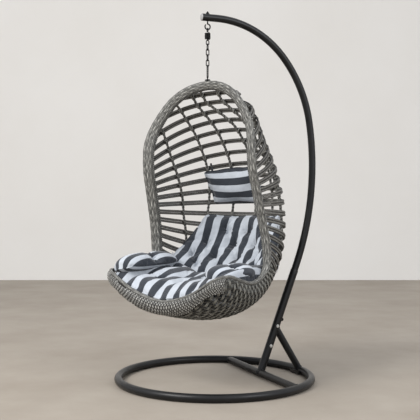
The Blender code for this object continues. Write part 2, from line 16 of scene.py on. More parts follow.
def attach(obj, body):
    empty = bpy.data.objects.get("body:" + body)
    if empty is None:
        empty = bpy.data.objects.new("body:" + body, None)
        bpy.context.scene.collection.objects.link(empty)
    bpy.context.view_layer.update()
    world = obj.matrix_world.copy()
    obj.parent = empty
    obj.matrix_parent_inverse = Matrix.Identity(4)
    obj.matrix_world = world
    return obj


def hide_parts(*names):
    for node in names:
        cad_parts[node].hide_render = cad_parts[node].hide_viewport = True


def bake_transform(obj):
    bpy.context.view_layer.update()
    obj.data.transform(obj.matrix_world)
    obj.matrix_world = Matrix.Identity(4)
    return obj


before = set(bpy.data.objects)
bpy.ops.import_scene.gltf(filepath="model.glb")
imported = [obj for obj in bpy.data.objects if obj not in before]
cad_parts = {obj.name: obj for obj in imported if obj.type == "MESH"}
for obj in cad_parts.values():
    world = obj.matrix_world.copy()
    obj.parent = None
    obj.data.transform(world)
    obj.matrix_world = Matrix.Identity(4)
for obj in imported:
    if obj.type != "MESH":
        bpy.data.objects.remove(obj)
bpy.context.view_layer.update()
# ---------------------------------------------------------------- design values, metres

CAMERA_AT = (3.9685, -1.6557, 0.898)
CAMERA_TURN = 68.0
LENS = 69.8
SENSOR = 36.0
WALL_DISTANCE = 10.44

STAND_Y = -0.026
RING_TUBE_R = 0.021
RING_R = 0.504
BAR_TUBE_R = 0.019
BAR_S = 0.266
POST_R = 0.021
POST_LEAN = math.radians(20.7)
POST_TOP_Z = 0.570
POLE_R = 0.019
POLE_FOOT_Z = 0.140
LEAN_LENGTH = 0.594
LEAN_START = (0.274, 0.042)
POLE_ARCS = ((1.545, 29.6), (0.700, 31.6), (0.511, 49.5))
POLE_TIP_S = -0.072
BOLT_HEIGHTS = (("post_bolt_upper", 0.270), ("post_bolt_lower", 0.165))
POST_NUT_Z = 0.310
BRACE_FOOT_S = 0.4755
BRACE_FOOT_Z = 0.013
BEAD_R = 0.0030
BEAD_RIPPLE = 0.0004
BRACE_R = 0.019
BRACE_TOP_Z = 0.262

HOOK_Y = -0.066
HOOK_Z = 1.860
HOOK_RING_R = 0.0145
HOOK_WIRE_R = 0.0035
LINK_WIRE_R = 0.0026
CROWN_STEP = 0.0055
LINK_PITCH = 0.0335
LINK_HALF_WIDTH = 0.0075
SPRING_R = 0.0135
SPRING_WIRE_R = 0.0021
SPRING_TOP_Z = 1.8280
SPRING_PITCH = 0.0046
SPRING_TURNS = 7.5
EYE_HALF_WIDTH = 0.0075
EYE_LENGTH = 0.024
GAP = 0.0003                # left between pieces that bear on each other
LOOP_END_Z = 1.5905
STUD_END_Z = 1.5665
STUD_HEAD_Z = 1.5705
PLATE_Z = 1.5765

BASKET_YAW = math.radians(30.0)
LAST_ROW = 30.0
SQUARENESS = 2.15
RIB_R = 0.007
RIB_TWIST = 0.040           # length of one turn of a rib's two strands
RIB_STEP = 0.0028
ROW_COUNT = 18
ROW_OFFSET = 0.014
ROW_SHIFT = 0.0068          # of each of a row's two strands from its middle
ROW_STRAND = (0.0130, 0.0094)
LASHING_R = 0.0150
LASHING_LEAN = 0.62
RIM_POINTS = (
    (-0.5, 0.019, -0.118, 1.527), (0, 0.000, 0.000, 1.551), (0.5, 0.019, 0.118, 1.527),
    (1, 0.038, 0.212, 1.468),
    (2, 0.063, 0.303, 1.345), (3, 0.082, 0.333, 1.255), (4, 0.086, 0.339, 1.193),
    (6, 0.080, 0.342, 1.100), (8, 0.061, 0.345, 1.026), (10, 0.043, 0.349, 0.958),
    (12, 0.026, 0.352, 0.890), (14, 0.006, 0.358, 0.812), (16, -0.008, 0.364, 0.731),
    (18, -0.012, 0.366, 0.664), (20, 0.000, 0.368, 0.605), (22, 0.055, 0.371, 0.562),
    (24, 0.140, 0.374, 0.544), (26, 0.245, 0.380, 0.567), (27, 0.322, 0.380, 0.586),
    (28, 0.368, 0.325, 0.568), (29, 0.366, 0.175, 0.488), (30, 0.362, 0.000, 0.449),
    (31, 0.366, -0.175, 0.488),
)
BACK_POINTS = (
    (0, 0.000, 1.551), (1, -0.038, 1.507), (2, -0.075, 1.465), (3, -0.115, 1.422),
    (4, -0.160, 1.376), (6, -0.262, 1.272), (8, -0.358, 1.154), (10, -0.425, 1.018),
    (12, -0.453, 0.873), (14, -0.428, 0.730), (16, -0.352, 0.602), (18, -0.237, 0.500),
    (20, -0.115, 0.424), (22, -0.008, 0.377), (24, 0.102, 0.356), (26, 0.215, 0.371),
    (28, 0.315, 0.400), (29, 0.349, 0.418), (30, 0.362, 0.449),
)
RIM_SIZES = ((0, 0.025, 0.012), (3, 0.033, 0.012), (17, 0.033, 0.012), (19.5, 0.028, 0.012),
             (21.5, 0.017, 0.011), (24, 0.0105, 0.009), (30, 0.0095, 0.0085))
RIB_HEIGHTS = (0.85, 1.33, 1.48)
RIB_SIDES = ((-0.322, -0.310, -0.310), (-0.257, -0.201, -0.215), (-0.151, -0.084, -0.120),
             (-0.015, 0.048, -0.060), (0.118, 0.160, 0.045), (0.225, 0.245, 0.150),
             (0.300, 0.300, 0.250))

STRANDS_ROUND_RIM = 16
SIDES_PER_STRAND = 5
RIM_STEP = 0.0028
RIM_TILT = math.radians(18)
RIM_LOOP = 0.052            # length of one over-and-under of the long strands
RIM_CROSS = 0.0105          # the same on the finely woven inner side
RIM_BUMP = 0.0030
RIM_WAVE = 0.0007
RIM_CROSS_WAVE = 0.0012

BASE_FIRST_ROW = 18.75
BASE_LAST_ROW = 29.62
BASE_WEFTS = 35
BASE_STAKES = 27
BASE_REACH = 1.46           # angle of the outermost stakes
BASE_LIFT = 0.0155
BASE_WAVE = 0.0034
BASE_SHIFT = 0.0029         # of each of a pair's two strands from its middle
BASE_PACKED = 0.36          # angle that the extra strands along the rim cover

APRON_LIFT = 0.0275
APRON_THICK = 0.0045
APRON_CELL = 0.0080
APRON_WIDTH = 0.064
APRON_FIRST_ROW = 27.35

STRIPE = 0.080
SEAT_BACK = -0.105
SEAT_FRONT = 0.353
SEAT_HALF = 0.352
SEAT_CREST = ((-0.11, 0.0, 0.1, 0.2, 0.30, 0.35), (0.566, 0.548, 0.544, 0.534, 0.514, 0.488))
SEAT_TUFTS = ((0.195, -0.240), (0.190, -0.148), (0.175, 0.004), (0.190, 0.155),
              (0.195, 0.240), (-0.015, -0.225), (0.085, -0.068), (0.085, 0.075),
              (-0.015, 0.225), (-0.060, -0.100), (-0.060, 0.050))
BACK_EDGE = ((11.9, 0.76), (12.5, 0.84), (14.0, 0.98), (15.5, 1.09), (16.5, 1.17), (19.0, 1.27))
BACK_TUFTS = ((13.6, (-0.44, 0.0, 0.44)), (14.9, (-0.72, -0.24, 0.24, 0.72)),
              (16.3, (-0.92, -0.46, 0.0, 0.46, 0.92)), (17.6, (-0.72, -0.24, 0.24, 0.72)))
COVER_GAP = 0.012           # between a cover's lower side and the basket's surface
TUFT_DEEP = 0.038
TUFT_WIDE = 0.021
TUFT_BUTTON = 0.0075
FOLD_HIGH = 0.0034
PIPING_R = 0.0026
TIE_WIDTH = 0.009
CLOTH_FRAMES = 20

BASKET_MATRIX = Matrix.Translation((0, HOOK_Y, 0)) @ Matrix.Rotation(BASKET_YAW, 4, "Z")
BASKET_MIDDLE = Vector((0, -0.05, 0.95))

# ---------------------------------------------------------------- materials

class Tree:
    """Short hand for one material's nodes."""

    def __init__(self, name):
        self.material = bpy.data.materials.new(name)
        self.material.use_nodes = True
        self.nodes = self.material.node_tree.nodes
        self.links = self.material.node_tree.links
        self.shader = self.nodes["Principled BSDF"]
        self.place = self.add("TexCoord").outputs["Object"]

    def add(self, kind, settings=None, **inputs):
        node = self.nodes.new("ShaderNode" + kind)
        for key, value in (settings or {}).items():
            setattr(node, key, value)
        for key, value in inputs.items():
            self.put(node, key.replace("_", " "), value)
        return node

    def put(self, node, key, value):
        socket = node.inputs[int(key[1:])] if key[0] == "i" and key[1:].isdigit() else node.inputs[key]
        if isinstance(value, bpy.types.NodeSocket):
            self.links.new(value, socket)
        else:
            socket.default_value = value

    def blotches(self, scale, detail=3.0, roughness=0.55, distortion=0.0):
        return self.noise(self.place, scale, detail, roughness, distortion)

    def fade(self, factor, low, high, start=0.3, end=0.7):
        return self.ramp(factor, ((start, low), (end, high)))

    def math(self, operation, a, b=0.0, c=0.0, clamp=False):
        node = self.add("Math", {"operation": operation, "use_clamp": clamp}, i0=a, i1=b, i2=c)
        return node.outputs[0]

    def attribute(self, name):
        return self.add("Attribute", {"attribute_name": name}).outputs["Fac"]

    def uv(self, scale):
        coordinates = self.add("UVMap", {"uv_map": "strand"}).outputs[0]
        return self.add("Mapping", Vector=coordinates, Scale=scale).outputs[0]

    def noise(self, vector, scale, detail=3.0, roughness=0.55, distortion=0.0):
        node = self.add("TexNoise", Vector=vector, Scale=scale, Detail=detail,
                        Roughness=roughness, Distortion=distortion)
        return node.outputs["Fac"]

    def ramp(self, factor, stops):
        node = self.add("ValToRGB", Fac=factor)
        ramp = node.color_ramp
        while len(ramp.elements) < len(stops):
            ramp.elements.new(0.5)
        for element, (position, color) in zip(ramp.elements, stops):
            element.position = position
            element.color = (*color, 1.0) if len(color) == 3 else color
        return node.outputs["Color"]

    def mix(self, factor, a, b, blend="MIX"):
        node = self.add("Mix", {"data_type": "RGBA", "blend_type": blend})
        self.put(node, "i0", factor)
        for index, value in ((6, a), (7, b)):
            if isinstance(value, tuple):
                value = (*value, 1.0)
            self.put(node, "i%d" % index, value)
        return node.outputs[2]

    def bump(self, height, strength, distance, normal=None):
        node = self.add("Bump", Height=height, Strength=strength, Distance=distance)
        if normal is not None:
            self.put(node, "Normal", normal)
        return node.outputs[0]

    def finish(self, **inputs):
        for key, value in inputs.items():
            self.put(self.shader, key.replace("_", " "), value)
        return self.material


def grey(value):
    return (value, value, value)


def painted_steel():
    """Satin black powder coat with a fine orange peel and rubbed high spots."""
    t = Tree("satin_black_paint")
    patches = t.blotches(9.0, 5.0)
    scuffs = t.fade(t.blotches(60.0, 8.0, 0.7), grey(0.0), grey(1.0), 0.60, 0.80)
    base = t.fade(patches, (0.0050, 0.0050, 0.0053), (0.0095, 0.0095, 0.0098))
    return t.finish(Base_Color=t.mix(scuffs, base, (0.022, 0.022, 0.023)),
                    Roughness=t.math("MULTIPLY_ADD", patches, 0.22, 0.24),
                    Specular_IOR_Level=0.32, Normal=t.bump(t.blotches(900.0, 2.0), 0.25, 0.0004))


def dark_metal():
    """Oiled black chain steel, brighter where the links rub."""
    t = Tree("black_chain_steel")
    wear = t.fade(t.blotches(220.0, 6.0, 0.7), grey(0.0), grey(1.0), 0.52, 0.78)
    return t.finish(Base_Color=t.mix(wear, (0.007, 0.007, 0.0075), (0.09, 0.088, 0.085)),
                    Metallic=0.75, Roughness=t.math("MULTIPLY_ADD", t.blotches(90.0), 0.3, 0.25),
                    Normal=t.bump(t.blotches(700.0), 0.3, 0.0003))


def bright_metal():
    """Zinc plate with a soft brushed haze."""
    t = Tree("zinc_plated_steel")
    haze = t.blotches(260.0, 4.0)
    return t.finish(Base_Color=t.fade(haze, (0.46, 0.46, 0.45), (0.74, 0.74, 0.72)), Metallic=1.0,
                    Roughness=t.math("MULTIPLY_ADD", haze, 0.25, 0.22),
                    Normal=t.bump(t.blotches(1400.0), 0.2, 0.0002))


def grey_plastic():
    """Moulded pale grey cap."""
    t = Tree("grey_moulded_plastic")
    return t.finish(Base_Color=t.fade(t.blotches(120.0), grey(0.27), grey(0.36)), Roughness=0.55,
                    Normal=t.bump(t.blotches(1200.0), 0.3, 0.0003))


def strand_material(name, low, high, fleck, fleck_share, scale=(48.0, 3.0), stops=(0.10, 0.95),
                    roughness=0.52):
    """Half-round plastic rattan: grooved along its length, painted lighter on its crown as a painted
    highlight and darker on its sides as painted shade, each strand a little different, with flecks of
    another tone where fleck_share says so."""
    t = Tree(name)
    crown = t.attribute("crown")
    tone = t.attribute("tone")
    grooves = t.noise(t.uv((14.0, 26.0, 1.0)), 1.0, 3.0, 0.6)
    streaks = t.noise(t.uv((*scale, 1.0)), 1.0, 2.0, 0.5)
    # lift is painted light: from crown, the strand's top is painted lighter as a highlight and its
    # sides and hollows darker as shade; the flecks below are scaled by it too
    lift = t.math("MULTIPLY", crown, t.math("MULTIPLY_ADD", grooves, 0.7, 0.62))
    base = t.fade(lift, low, high, *stops)
    base = t.mix(t.math("MULTIPLY", tone, 0.55), base, (0.012, 0.012, 0.011))
    spots = t.fade(streaks, grey(0.0), grey(1.0), fleck_share, fleck_share + 0.06)
    color = t.mix(t.math("MULTIPLY", spots, lift, clamp=True), base, fleck)
    height = t.math("MULTIPLY_ADD", grooves, 0.6, t.math("MULTIPLY", streaks, 0.4))
    return t.finish(Base_Color=color, Roughness=t.math("MULTIPLY_ADD", grooves, 0.2, roughness - 0.1),
                    Specular_IOR_Level=0.4, Normal=t.bump(height, 0.5, 0.0006))


def fabric_material(name, period, dark_share=0.51, phase=0.0):
    """Woven outdoor cloth, printed in slate and pale stripes; 'stripe' and 'run' are the
    distances in metres across and along the stripes."""
    t = Tree(name)
    across = t.attribute("stripe")
    along = t.attribute("run")
    wobble = t.blotches(30.0, 2.0)
    place = t.math("ADD", across, t.math("MULTIPLY_ADD", wobble, 0.0016, phase - 0.0008))
    cycle = t.math("PINGPONG", place, period / 2)
    edge = dark_share * period / 2
    sharp = t.math("MULTIPLY_ADD", t.math("SUBTRACT", cycle, edge), -900.0, 0.5, clamp=True)
    dark = t.fade(sharp, grey(0.0), grey(1.0), 0.0, 1.0)
    thread = 0.0011
    warp = t.math("PINGPONG", across, thread)
    weft = t.math("PINGPONG", along, thread)
    weave = t.math("MULTIPLY", t.math("ADD", warp, weft), 0.5 / thread)
    fibre = t.blotches(1100.0, 3.0, 0.7)
    slate = t.mix(fibre, (0.018, 0.022, 0.029), (0.058, 0.066, 0.081))
    pale = t.mix(fibre, (0.40, 0.435, 0.485), (0.64, 0.68, 0.73))
    soft = t.fade(t.blotches(26.0, 4.0), grey(0.35), grey(0.85))
    color = t.mix(0.22, t.mix(dark, pale, slate), soft, "MULTIPLY")
    height = t.math("MULTIPLY_ADD", fibre, 0.35, weave)
    crease = t.bump(t.blotches(55.0, 5.0, 0.62, 0.4), 0.42, 0.007)
    return t.finish(Base_Color=color, Roughness=0.92, Sheen_Weight=0.22, Sheen_Roughness=0.5,
                    Specular_IOR_Level=0.2, Normal=t.bump(height, 0.35, 0.0005, crease))


def webbing_material(name, low, high):
    """Ribbed flat tape; 'run' is the distance in metres along it."""
    t = Tree(name)
    rib = t.math("PINGPONG", t.attribute("run"), 0.0012)
    fibre = t.blotches(900.0)
    height = t.math("MULTIPLY_ADD", fibre, 0.4, t.math("MULTIPLY", rib, 700.0))
    return t.finish(Base_Color=t.fade(fibre, low, high), Roughness=0.9, Sheen_Weight=0.2,
                    Normal=t.bump(height, 0.5, 0.0006))


# ---------------------------------------------------------------- meshes


def link(name, data):
    """Puts a mesh, a light or a camera in the scene."""
    obj = bpy.data.objects.new(name, data)
    bpy.context.scene.collection.objects.link(obj)
    return obj


def read(mesh, key="co"):
    """A mesh's vertex positions, or its normals where key is normal."""
    data = np.zeros(len(mesh.vertices) * 3, np.float32)
    mesh.vertices.foreach_get(key, data)
    return data.reshape(-1, 3).astype(float)


def write(mesh, points):
    mesh.vertices.foreach_set("co", points.astype(np.float32).ravel())
    mesh.update()


class Bundle:
    """Collects grids of points, each a strand, tube or panel, into one mesh."""

    def __init__(self):
        self.verts = []
        self.quads = []
        self.tris = []
        self.quad_uvs = []
        self.tri_uvs = []
        # crown carries painted light into the strand materials: near 1 where a strand is painted lit,
        # lower where painted shade falls
        self.values = {"crown": [], "tone": [], "stripe": [], "run": []}
        self.count = 0

    def add(self, grid, u, closed=False, caps=True, crown=1.0, tone=0.0, stripe=0.0, run=0.0):
        """grid is rings x sides x 3, closed round each ring; u is each ring's distance."""
        rings, sides = grid.shape[:2]
        index = self.count + np.arange(rings * sides).reshape(rings, sides)
        u = np.asarray(u, float)
        following = np.roll(index, -1, axis=0) if closed else index[1:]
        here = index if closed else index[:-1]
        u_next = np.append(u[1:], u[-1] + (u[-1] - u[-2])) if closed else u[1:]
        u_here = u if closed else u[:-1]
        right = np.roll(here, -1, axis=1)
        right_next = np.roll(following, -1, axis=1)
        self.quads.append(np.stack([here, right, right_next, following], -1).reshape(-1, 4))
        v = np.arange(sides) / sides
        v_right = (np.arange(sides) + 1) / sides
        corners = []
        for uu, vv in ((u_here, v), (u_here, v_right), (u_next, v_right), (u_next, v)):
            corners.append(np.stack(np.broadcast_arrays(uu[:, None], vv[None, :]), -1))
        self.quad_uvs.append(np.stack(corners, 2).reshape(-1, 2))
        points = [grid.reshape(-1, 3)]
        extra = 0
        if caps and not closed:
            for ring, order in ((0, -1), (rings - 1, 1)):
                centre = self.count + rings * sides + extra
                points.append(grid[ring].mean(0)[None])
                edge = index[ring]
                pair = (edge, np.roll(edge, -1)) if order > 0 else (np.roll(edge, -1), edge)
                self.tris.append(np.stack([pair[0], pair[1], np.full(sides, centre)], -1))
                self.tri_uvs.append(np.tile([u[ring], 0.5], (sides * 3, 1)))
                extra += 1
        self.verts.append(np.concatenate(points))
        for key, value in (("crown", crown), ("tone", tone), ("stripe", stripe), ("run", run)):
            full = np.broadcast_to(np.asarray(value, float), (rings, sides)).reshape(-1)
            tail = [full[:sides].mean(), full[-sides:].mean()][:extra]
            self.values[key].append(np.concatenate([full, tail]))
        self.count += rings * sides + extra

    def build(self, name, mat, body, replaces=(), matrix=None, sharp=None):
        verts = np.concatenate(self.verts)
        if matrix is not None:
            m = np.array(matrix)
            verts = verts @ m[:3, :3].T + m[:3, 3]
        quads = np.concatenate(self.quads)
        tris = np.concatenate(self.tris) if self.tris else np.zeros((0, 3), int)
        mesh = bpy.data.meshes.new(name)
        mesh.vertices.add(len(verts))
        mesh.vertices.foreach_set("co", verts.astype(np.float32).ravel())
        loops = np.concatenate([quads.ravel(), tris.ravel()]).astype(np.int32)
        mesh.loops.add(len(loops))
        mesh.loops.foreach_set("vertex_index", loops)
        starts = np.concatenate([np.arange(len(quads)) * 4,
                                 len(quads) * 4 + np.arange(len(tris)) * 3])
        mesh.polygons.add(len(starts))
        mesh.polygons.foreach_set("loop_start", starts.astype(np.int32))
        mesh.update(calc_edges=True)
        layer = mesh.uv_layers.new(name="strand")
        uvs = np.concatenate(self.quad_uvs + self.tri_uvs)
        layer.data.foreach_set("uv", uvs.astype(np.float32).ravel())
        for key, parts in self.values.items():
            data = np.concatenate(parts).astype(np.float32)
            if data.any():
                mesh.attributes.new(key, "FLOAT", "POINT").data.foreach_set("value", data)
        mesh.materials.append(mat)
        mesh.shade_smooth()
        if sharp:
            mesh.set_sharp_from_angle(angle=math.radians(sharp))
        fix_normals(mesh)
        obj = link(name, mesh)
        if body:
            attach(obj, body)
        if replaces:
            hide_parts(*replaces)
        return obj

    def weave(self, name, mat, nodes, slot="dark_wicker", sharp=None):
        """Builds a piece that was drawn in the basket's own frame."""
        return self.build(name, mat, "basket", nodes, BASKET_MATRIX, sharp)


def fix_normals(mesh):
    bm = bmesh.new()
    bm.from_mesh(mesh)
    bmesh.ops.recalc_face_normals(bm, faces=bm.faces)
    bm.to_mesh(mesh)
    bm.free()


def unit(v):
    return v / np.maximum(np.linalg.norm(v, axis=-1, keepdims=True), 1e-12)


def distances(points):
    steps = np.linalg.norm(np.diff(points, axis=0), axis=1)
    return np.concatenate([[0.0], np.cumsum(steps)])


def tangents(points, closed=False):
    if closed:
        return unit(np.roll(points, -1, 0) - np.roll(points, 1, 0))
    return unit(np.gradient(points, axis=0))


def transport(points, closed=False):
    """Directions along a line, and sideways ones that turn as little as they can."""
    along = tangents(points, closed)
    current = np.array([1.0, 0, 0]) if abs(along[0][0]) < 0.8 else np.array([0, 0, 1.0])
    side = []
    for t in along:
        current = current - t * current.dot(t)
        current = current / np.linalg.norm(current)
        side.append(current)
    return along, np.array(side)


def round_turn(count):
    """Angles evenly spaced once round."""
    return 2 * np.pi * np.arange(count) / count


def tube_grid(points, radius, sides=16, closed=False):
    """Rings round a line; radius is one value, one per ring, or rings x sides."""
    points = np.asarray(points, float)
    along, side = transport(points, closed)
    other = np.cross(along, side)
    angle = round_turn(sides)[None, :, None]
    radius = np.asarray(radius, float)
    if radius.ndim == 1:
        radius = radius[:, None]
    ring = side[:, None] * np.cos(angle) + other[:, None] * np.sin(angle)
    return points[:, None] + ring * np.broadcast_to(radius, (len(points), sides))[..., None]


def strand_grid(points, normals, width, thick, sides=6):
    """A half-round strand lying flat on a surface, and how far up each side is, which is used as its
    painted light (crown): lighter on its face, painted shade towards its edges.
    """
    along = tangents(points)
    side = unit(np.cross(along, normals))
    face = unit(np.cross(side, along))
    angle = 2 * np.pi * (np.arange(sides) + 0.5) / sides
    c = np.cos(angle)
    s = np.sin(angle)
    across = np.sign(c) * np.abs(c) ** 0.8
    up = np.sign(s) * np.abs(s) ** 0.9
    grid = (points[:, None] + side[:, None] * (across * width / 2)[None, :, None]
            + face[:, None] * (up * thick / 2)[None, :, None])
    return grid, np.abs(s) ** 1.2


def resample(points, step, closed=False):
    """The same line with even steps; also returns the fractional index of each point."""
    line = np.concatenate([points, points[:1]]) if closed else points
    length = distances(line)
    count = max(int(round(length[-1] / step)), 2)
    at = np.linspace(0, length[-1], count + 1)
    if closed:
        at = at[:-1]
    index = np.interp(at, length, np.arange(len(line)))
    return np.stack([np.interp(at, length, line[:, k]) for k in range(3)], -1), at, index


# ---------------------------------------------------------------- basket surface


def flat(values):
    return np.atleast_1d(np.asarray(values, float))


def track(table, at):
    """Values of a smooth curve through a table's rows, at many parameters at once."""
    t = np.asarray(table, float)
    at = flat(at)
    i = np.clip(np.searchsorted(t[:, 0], at, side="left") - 1, 0, len(t) - 2)
    p1, p2 = t[i], t[i + 1]
    p0 = t[np.maximum(i - 1, 0)]
    p3 = t[np.minimum(i + 2, len(t) - 1)]
    span = (p2[:, 0] - p1[:, 0])[:, None]
    x = (at[:, None] - p1[:, :1]) / span
    m1 = (p2 - p0) / (p2[:, :1] - p0[:, :1]) * span
    m2 = (p3 - p1) / (p3[:, :1] - p1[:, :1]) * span
    out = ((2 * x ** 3 - 3 * x ** 2 + 1) * p1 + (x ** 3 - 2 * x ** 2 + x) * m1
           + (3 * x ** 2 - 2 * x ** 3) * p2 + (x ** 3 - x ** 2) * m2)
    return out[:, 1:]


def rim_line(rows, side=1.0):
    forward, sideways, height = track(RIM_POINTS, rows).T
    return np.stack([side * sideways, -forward, height], -1)


def shell(rows, angles):
    """Points of the basket's surface."""
    rows, angles = np.broadcast_arrays(flat(rows), flat(angles))
    rim_f, half, rim_z = track(RIM_POINTS, rows).T
    back_f, back_z = track(BACK_POINTS, rows).T
    c = np.abs(np.cos(angles))
    s = np.abs(np.sin(angles))
    radius = (c ** SQUARENESS + s ** SQUARENESS) ** (-1 / SQUARENESS)
    inward = radius * np.cos(angles)
    return np.stack([half * radius * np.sin(angles), -(rim_f + (back_f - rim_f) * inward),
                     rim_z + (back_z - rim_z) * inward], -1)


def shell_frames(rows, angles):
    """Points, outward normals and downward directions of the basket's surface."""
    rows, angles = np.broadcast_arrays(flat(rows), flat(angles))
    step = 0.02
    here = shell(rows, angles)
    down = unit(shell(np.minimum(rows + step, LAST_ROW), angles)
                - shell(np.maximum(rows - step, 0.0), angles))
    across = unit(shell(rows, angles + step) - shell(rows, angles - step))
    normal = unit(np.cross(down, across))
    inside = np.array([0.0, 0.02, 0.85])
    facing = np.where(np.sum(normal * (here - inside), -1) < 0, -1.0, 1.0)
    normal = normal * facing[:, None]
    return here, normal, unit(np.cross(across, normal))


def row_frames(row, angles):
    return shell_frames(np.full(len(angles), float(row)), angles)


def bisect(test, size, steps):
    """Narrows each angle between those that pass the test and those that don't."""
    low = np.zeros(size)
    high = np.full(size, math.pi / 2)
    for _ in range(steps):
        middle = (low + high) / 2
        passed = test(middle)
        low = np.where(passed, middle, low)
        high = np.where(passed, high, middle)
    return low, high


def edge_angles(rows, clearance):
    """Largest angles that stay clear of the rim's centreline."""
    rows = flat(rows)
    rim = rim_line(rows)
    return bisect(lambda angles: np.linalg.norm(shell(rows, angles) - rim, axis=1) > clearance,
                  len(rows), 24)[0]


def angles_at(rows, sideways):
    """Angles at which the surface is this far to the side."""
    rows = flat(rows)
    sideways = np.broadcast_to(np.asarray(sideways, float), rows.shape)
    low, high = bisect(lambda angles: np.abs(shell(rows, angles)[:, 0]) < np.abs(sideways),
                       len(rows), 30)
    return np.copysign((low + high) / 2, sideways)


def surface_tree(offset, first, last=29.85, size=60):
    """The basket's surface between two rows, moved outward, for finding places on it."""
    points = []
    for row in np.linspace(first, last, size + 1):
        edge = edge_angles(row, 0.008)[0]
        here, normal, _ = row_frames(row, np.linspace(-edge, edge, size + 1))
        points.append(here + normal * offset)
    points = np.concatenate(points)
    faces = []
    for i in range(size):
        for k in range(size):
            corner = i * (size + 1) + k
            faces.append((corner, corner + 1, corner + size + 2, corner + size + 1))
    return BVHTree.FromPolygons([Vector(v) for v in points], faces)


# ---------------------------------------------------------------- basket, woven parts


def rim_path():
    """Even points once round the rim, their distances along it and their rows."""
    rows = np.linspace(0, LAST_ROW, 1201)
    returning = slice(-2, 0, -1)
    path = np.concatenate([rim_line(rows), rim_line(rows, -1.0)[returning]])
    row_of = np.concatenate([rows, rows[returning], rows[:1]])
    points, at, index = resample(path, RIM_STEP, closed=True)
    return points, at, np.interp(index, np.arange(len(row_of)), row_of)


def rim_frames(points):
    """Outward and sideways directions of the rim's oval section."""
    along = tangents(points, closed=True)
    out = np.stack([points[:, 0], np.minimum(points[:, 1] + 0.09, 0.0),
                    np.maximum(points[:, 2] - 1.05, 0.0)], -1)
    out = unit(out) + np.array([0, -math.tan(RIM_TILT), 0])
    out = unit(out - along * np.sum(out * along, -1)[:, None])
    return out, np.cross(along, out)


def make_rim(mat):
    """The rim: strands that run round it and wave past each other, with a finer weave
    on its inner side, which is painted darker as shade."""
    points, at, row = rim_path()
    out, face = rim_frames(points)
    wide, deep = track(RIM_SIZES, row).T
    sides = STRANDS_ROUND_RIM * SIDES_PER_STRAND
    samples = np.linspace(0, 2 * np.pi, 129)
    grid = np.zeros((len(points), sides, 3))
    crown = np.zeros((len(points), sides))
    tone = np.zeros((len(points), sides))
    whole = at[-1] + at[1]
    wave_number = 2 * np.pi * round(whole / RIM_LOOP) / whole
    cross_number = 2 * np.pi * round(whole / RIM_CROSS) / whole
    strand = np.arange(sides) // SIDES_PER_STRAND
    inside = (np.arange(sides) % SIDES_PER_STRAND + 0.5) / SIDES_PER_STRAND
    round_top = np.sqrt(np.maximum(1 - (2 * inside - 1) ** 2, 0))
    rng = np.random.default_rng(4)
    shades = rng.uniform(0.0, 0.22, STRANDS_ROUND_RIM)
    shades[::2] += 0.58
    shift = rng.uniform(0, 2.0, STRANDS_ROUND_RIM)
    for i in range(len(points)):
        a, b = wide[i], deep[i]
        arc = distances(np.stack([a * np.cos(samples), b * np.sin(samples)], -1))
        angle = np.interp((strand + inside) / STRANDS_ROUND_RIM * arc[-1], arc, samples)
        scale = min(arc[-1] / 0.15, 1.0)
        inner = np.clip(-1.6 * np.cos(angle) - 0.55, 0, 1)
        slow = np.cos(wave_number * at[i] + np.pi * strand + shift[strand])
        quick = np.cos(cross_number * at[i] + np.pi * strand)
        wave = slow * (1 - inner) + quick * inner
        size = RIM_WAVE * (1 - inner) + RIM_CROSS_WAVE * inner
        height = scale * (RIM_BUMP * (round_top - 1) + size * wave * round_top)
        normal = unit(np.stack([b * np.cos(angle), a * np.sin(angle)], -1))
        x = a * np.cos(angle) + normal[:, 0] * height
        y = b * np.sin(angle) + normal[:, 1] * height
        grid[i] = points[i] + out[i] * x[:, None] + face[i] * y[:, None]
        # Painted light: each strand's top is painted lighter and its sides darker, lighter where it
        # passes over and darker where it dips under; the inner side is painted in shade here and again
        # through its tone below
        crown[i] = np.clip(round_top * (0.80 + 0.20 * wave - 0.22 * inner), 0, 1)
        tone[i] = shades[strand] + 0.35 * inner
    bundle = Bundle()
    bundle.add(grid, at, closed=True, crown=crown, tone=tone)
    bundle.weave("rim_weave", mat, ["rim"], "grey_wicker")


def rib_side(sides, z):
    """How far to the side a rib is at each height."""
    low = sides[0] * (1 - 0.12 * ((RIB_HEIGHTS[0] - z) / 0.5) ** 2)
    knots = np.stack([RIB_HEIGHTS, sides], -1)
    high = track(knots, np.clip(z, RIB_HEIGHTS[0], RIB_HEIGHTS[-1]))[:, 0]
    return np.where(z < RIB_HEIGHTS[0], low, high)


def rib_line(sides):
    """A rib's centreline and its row numbers."""
    rows = np.concatenate([np.linspace(0.15, 5, 40), np.linspace(5.1, LAST_ROW, 200)])
    x = rib_side(sides, track(BACK_POINTS, rows)[:, 1])
    keep = track(RIM_POINTS, rows)[:, 1] > np.abs(x) + 0.002
    rows = rows[keep]
    x = x[keep]
    points = shell(rows, angles_at(rows, x))
    rim = rim_line(rows)
    rim[:, 0] *= np.where(x >= 0, 1.0, -1.0)
    keep = np.linalg.norm(points - rim, axis=1) > 0.010
    return points[keep], rows[keep]


def make_ribs(mat):
    """Stakes wound with two strands, like a cord; returns their lines."""
    lines = [rib_line(sides) for sides in RIB_SIDES]
    for k, (line, _) in enumerate(lines):
        points, at, _ = resample(line, RIB_STEP)
        turn = 2 * np.pi * at / RIB_TWIST
        lobe = np.abs(np.cos(round_turn(12)[None] - turn[:, None]))
        radius = RIB_R * (0.74 + 0.34 * lobe ** 0.8)
        bundle = Bundle()
        # crown paints each strand's bulge lighter as a painted highlight and the groove between the
        # two strands darker as painted shade
        bundle.add(tube_grid(points, radius, 12), at, crown=0.25 + 0.75 * lobe, tone=0.25)
        bundle.weave("rib_%d_winding" % (k + 1), mat, ["rib_%d" % (k + 1)])
    return lines


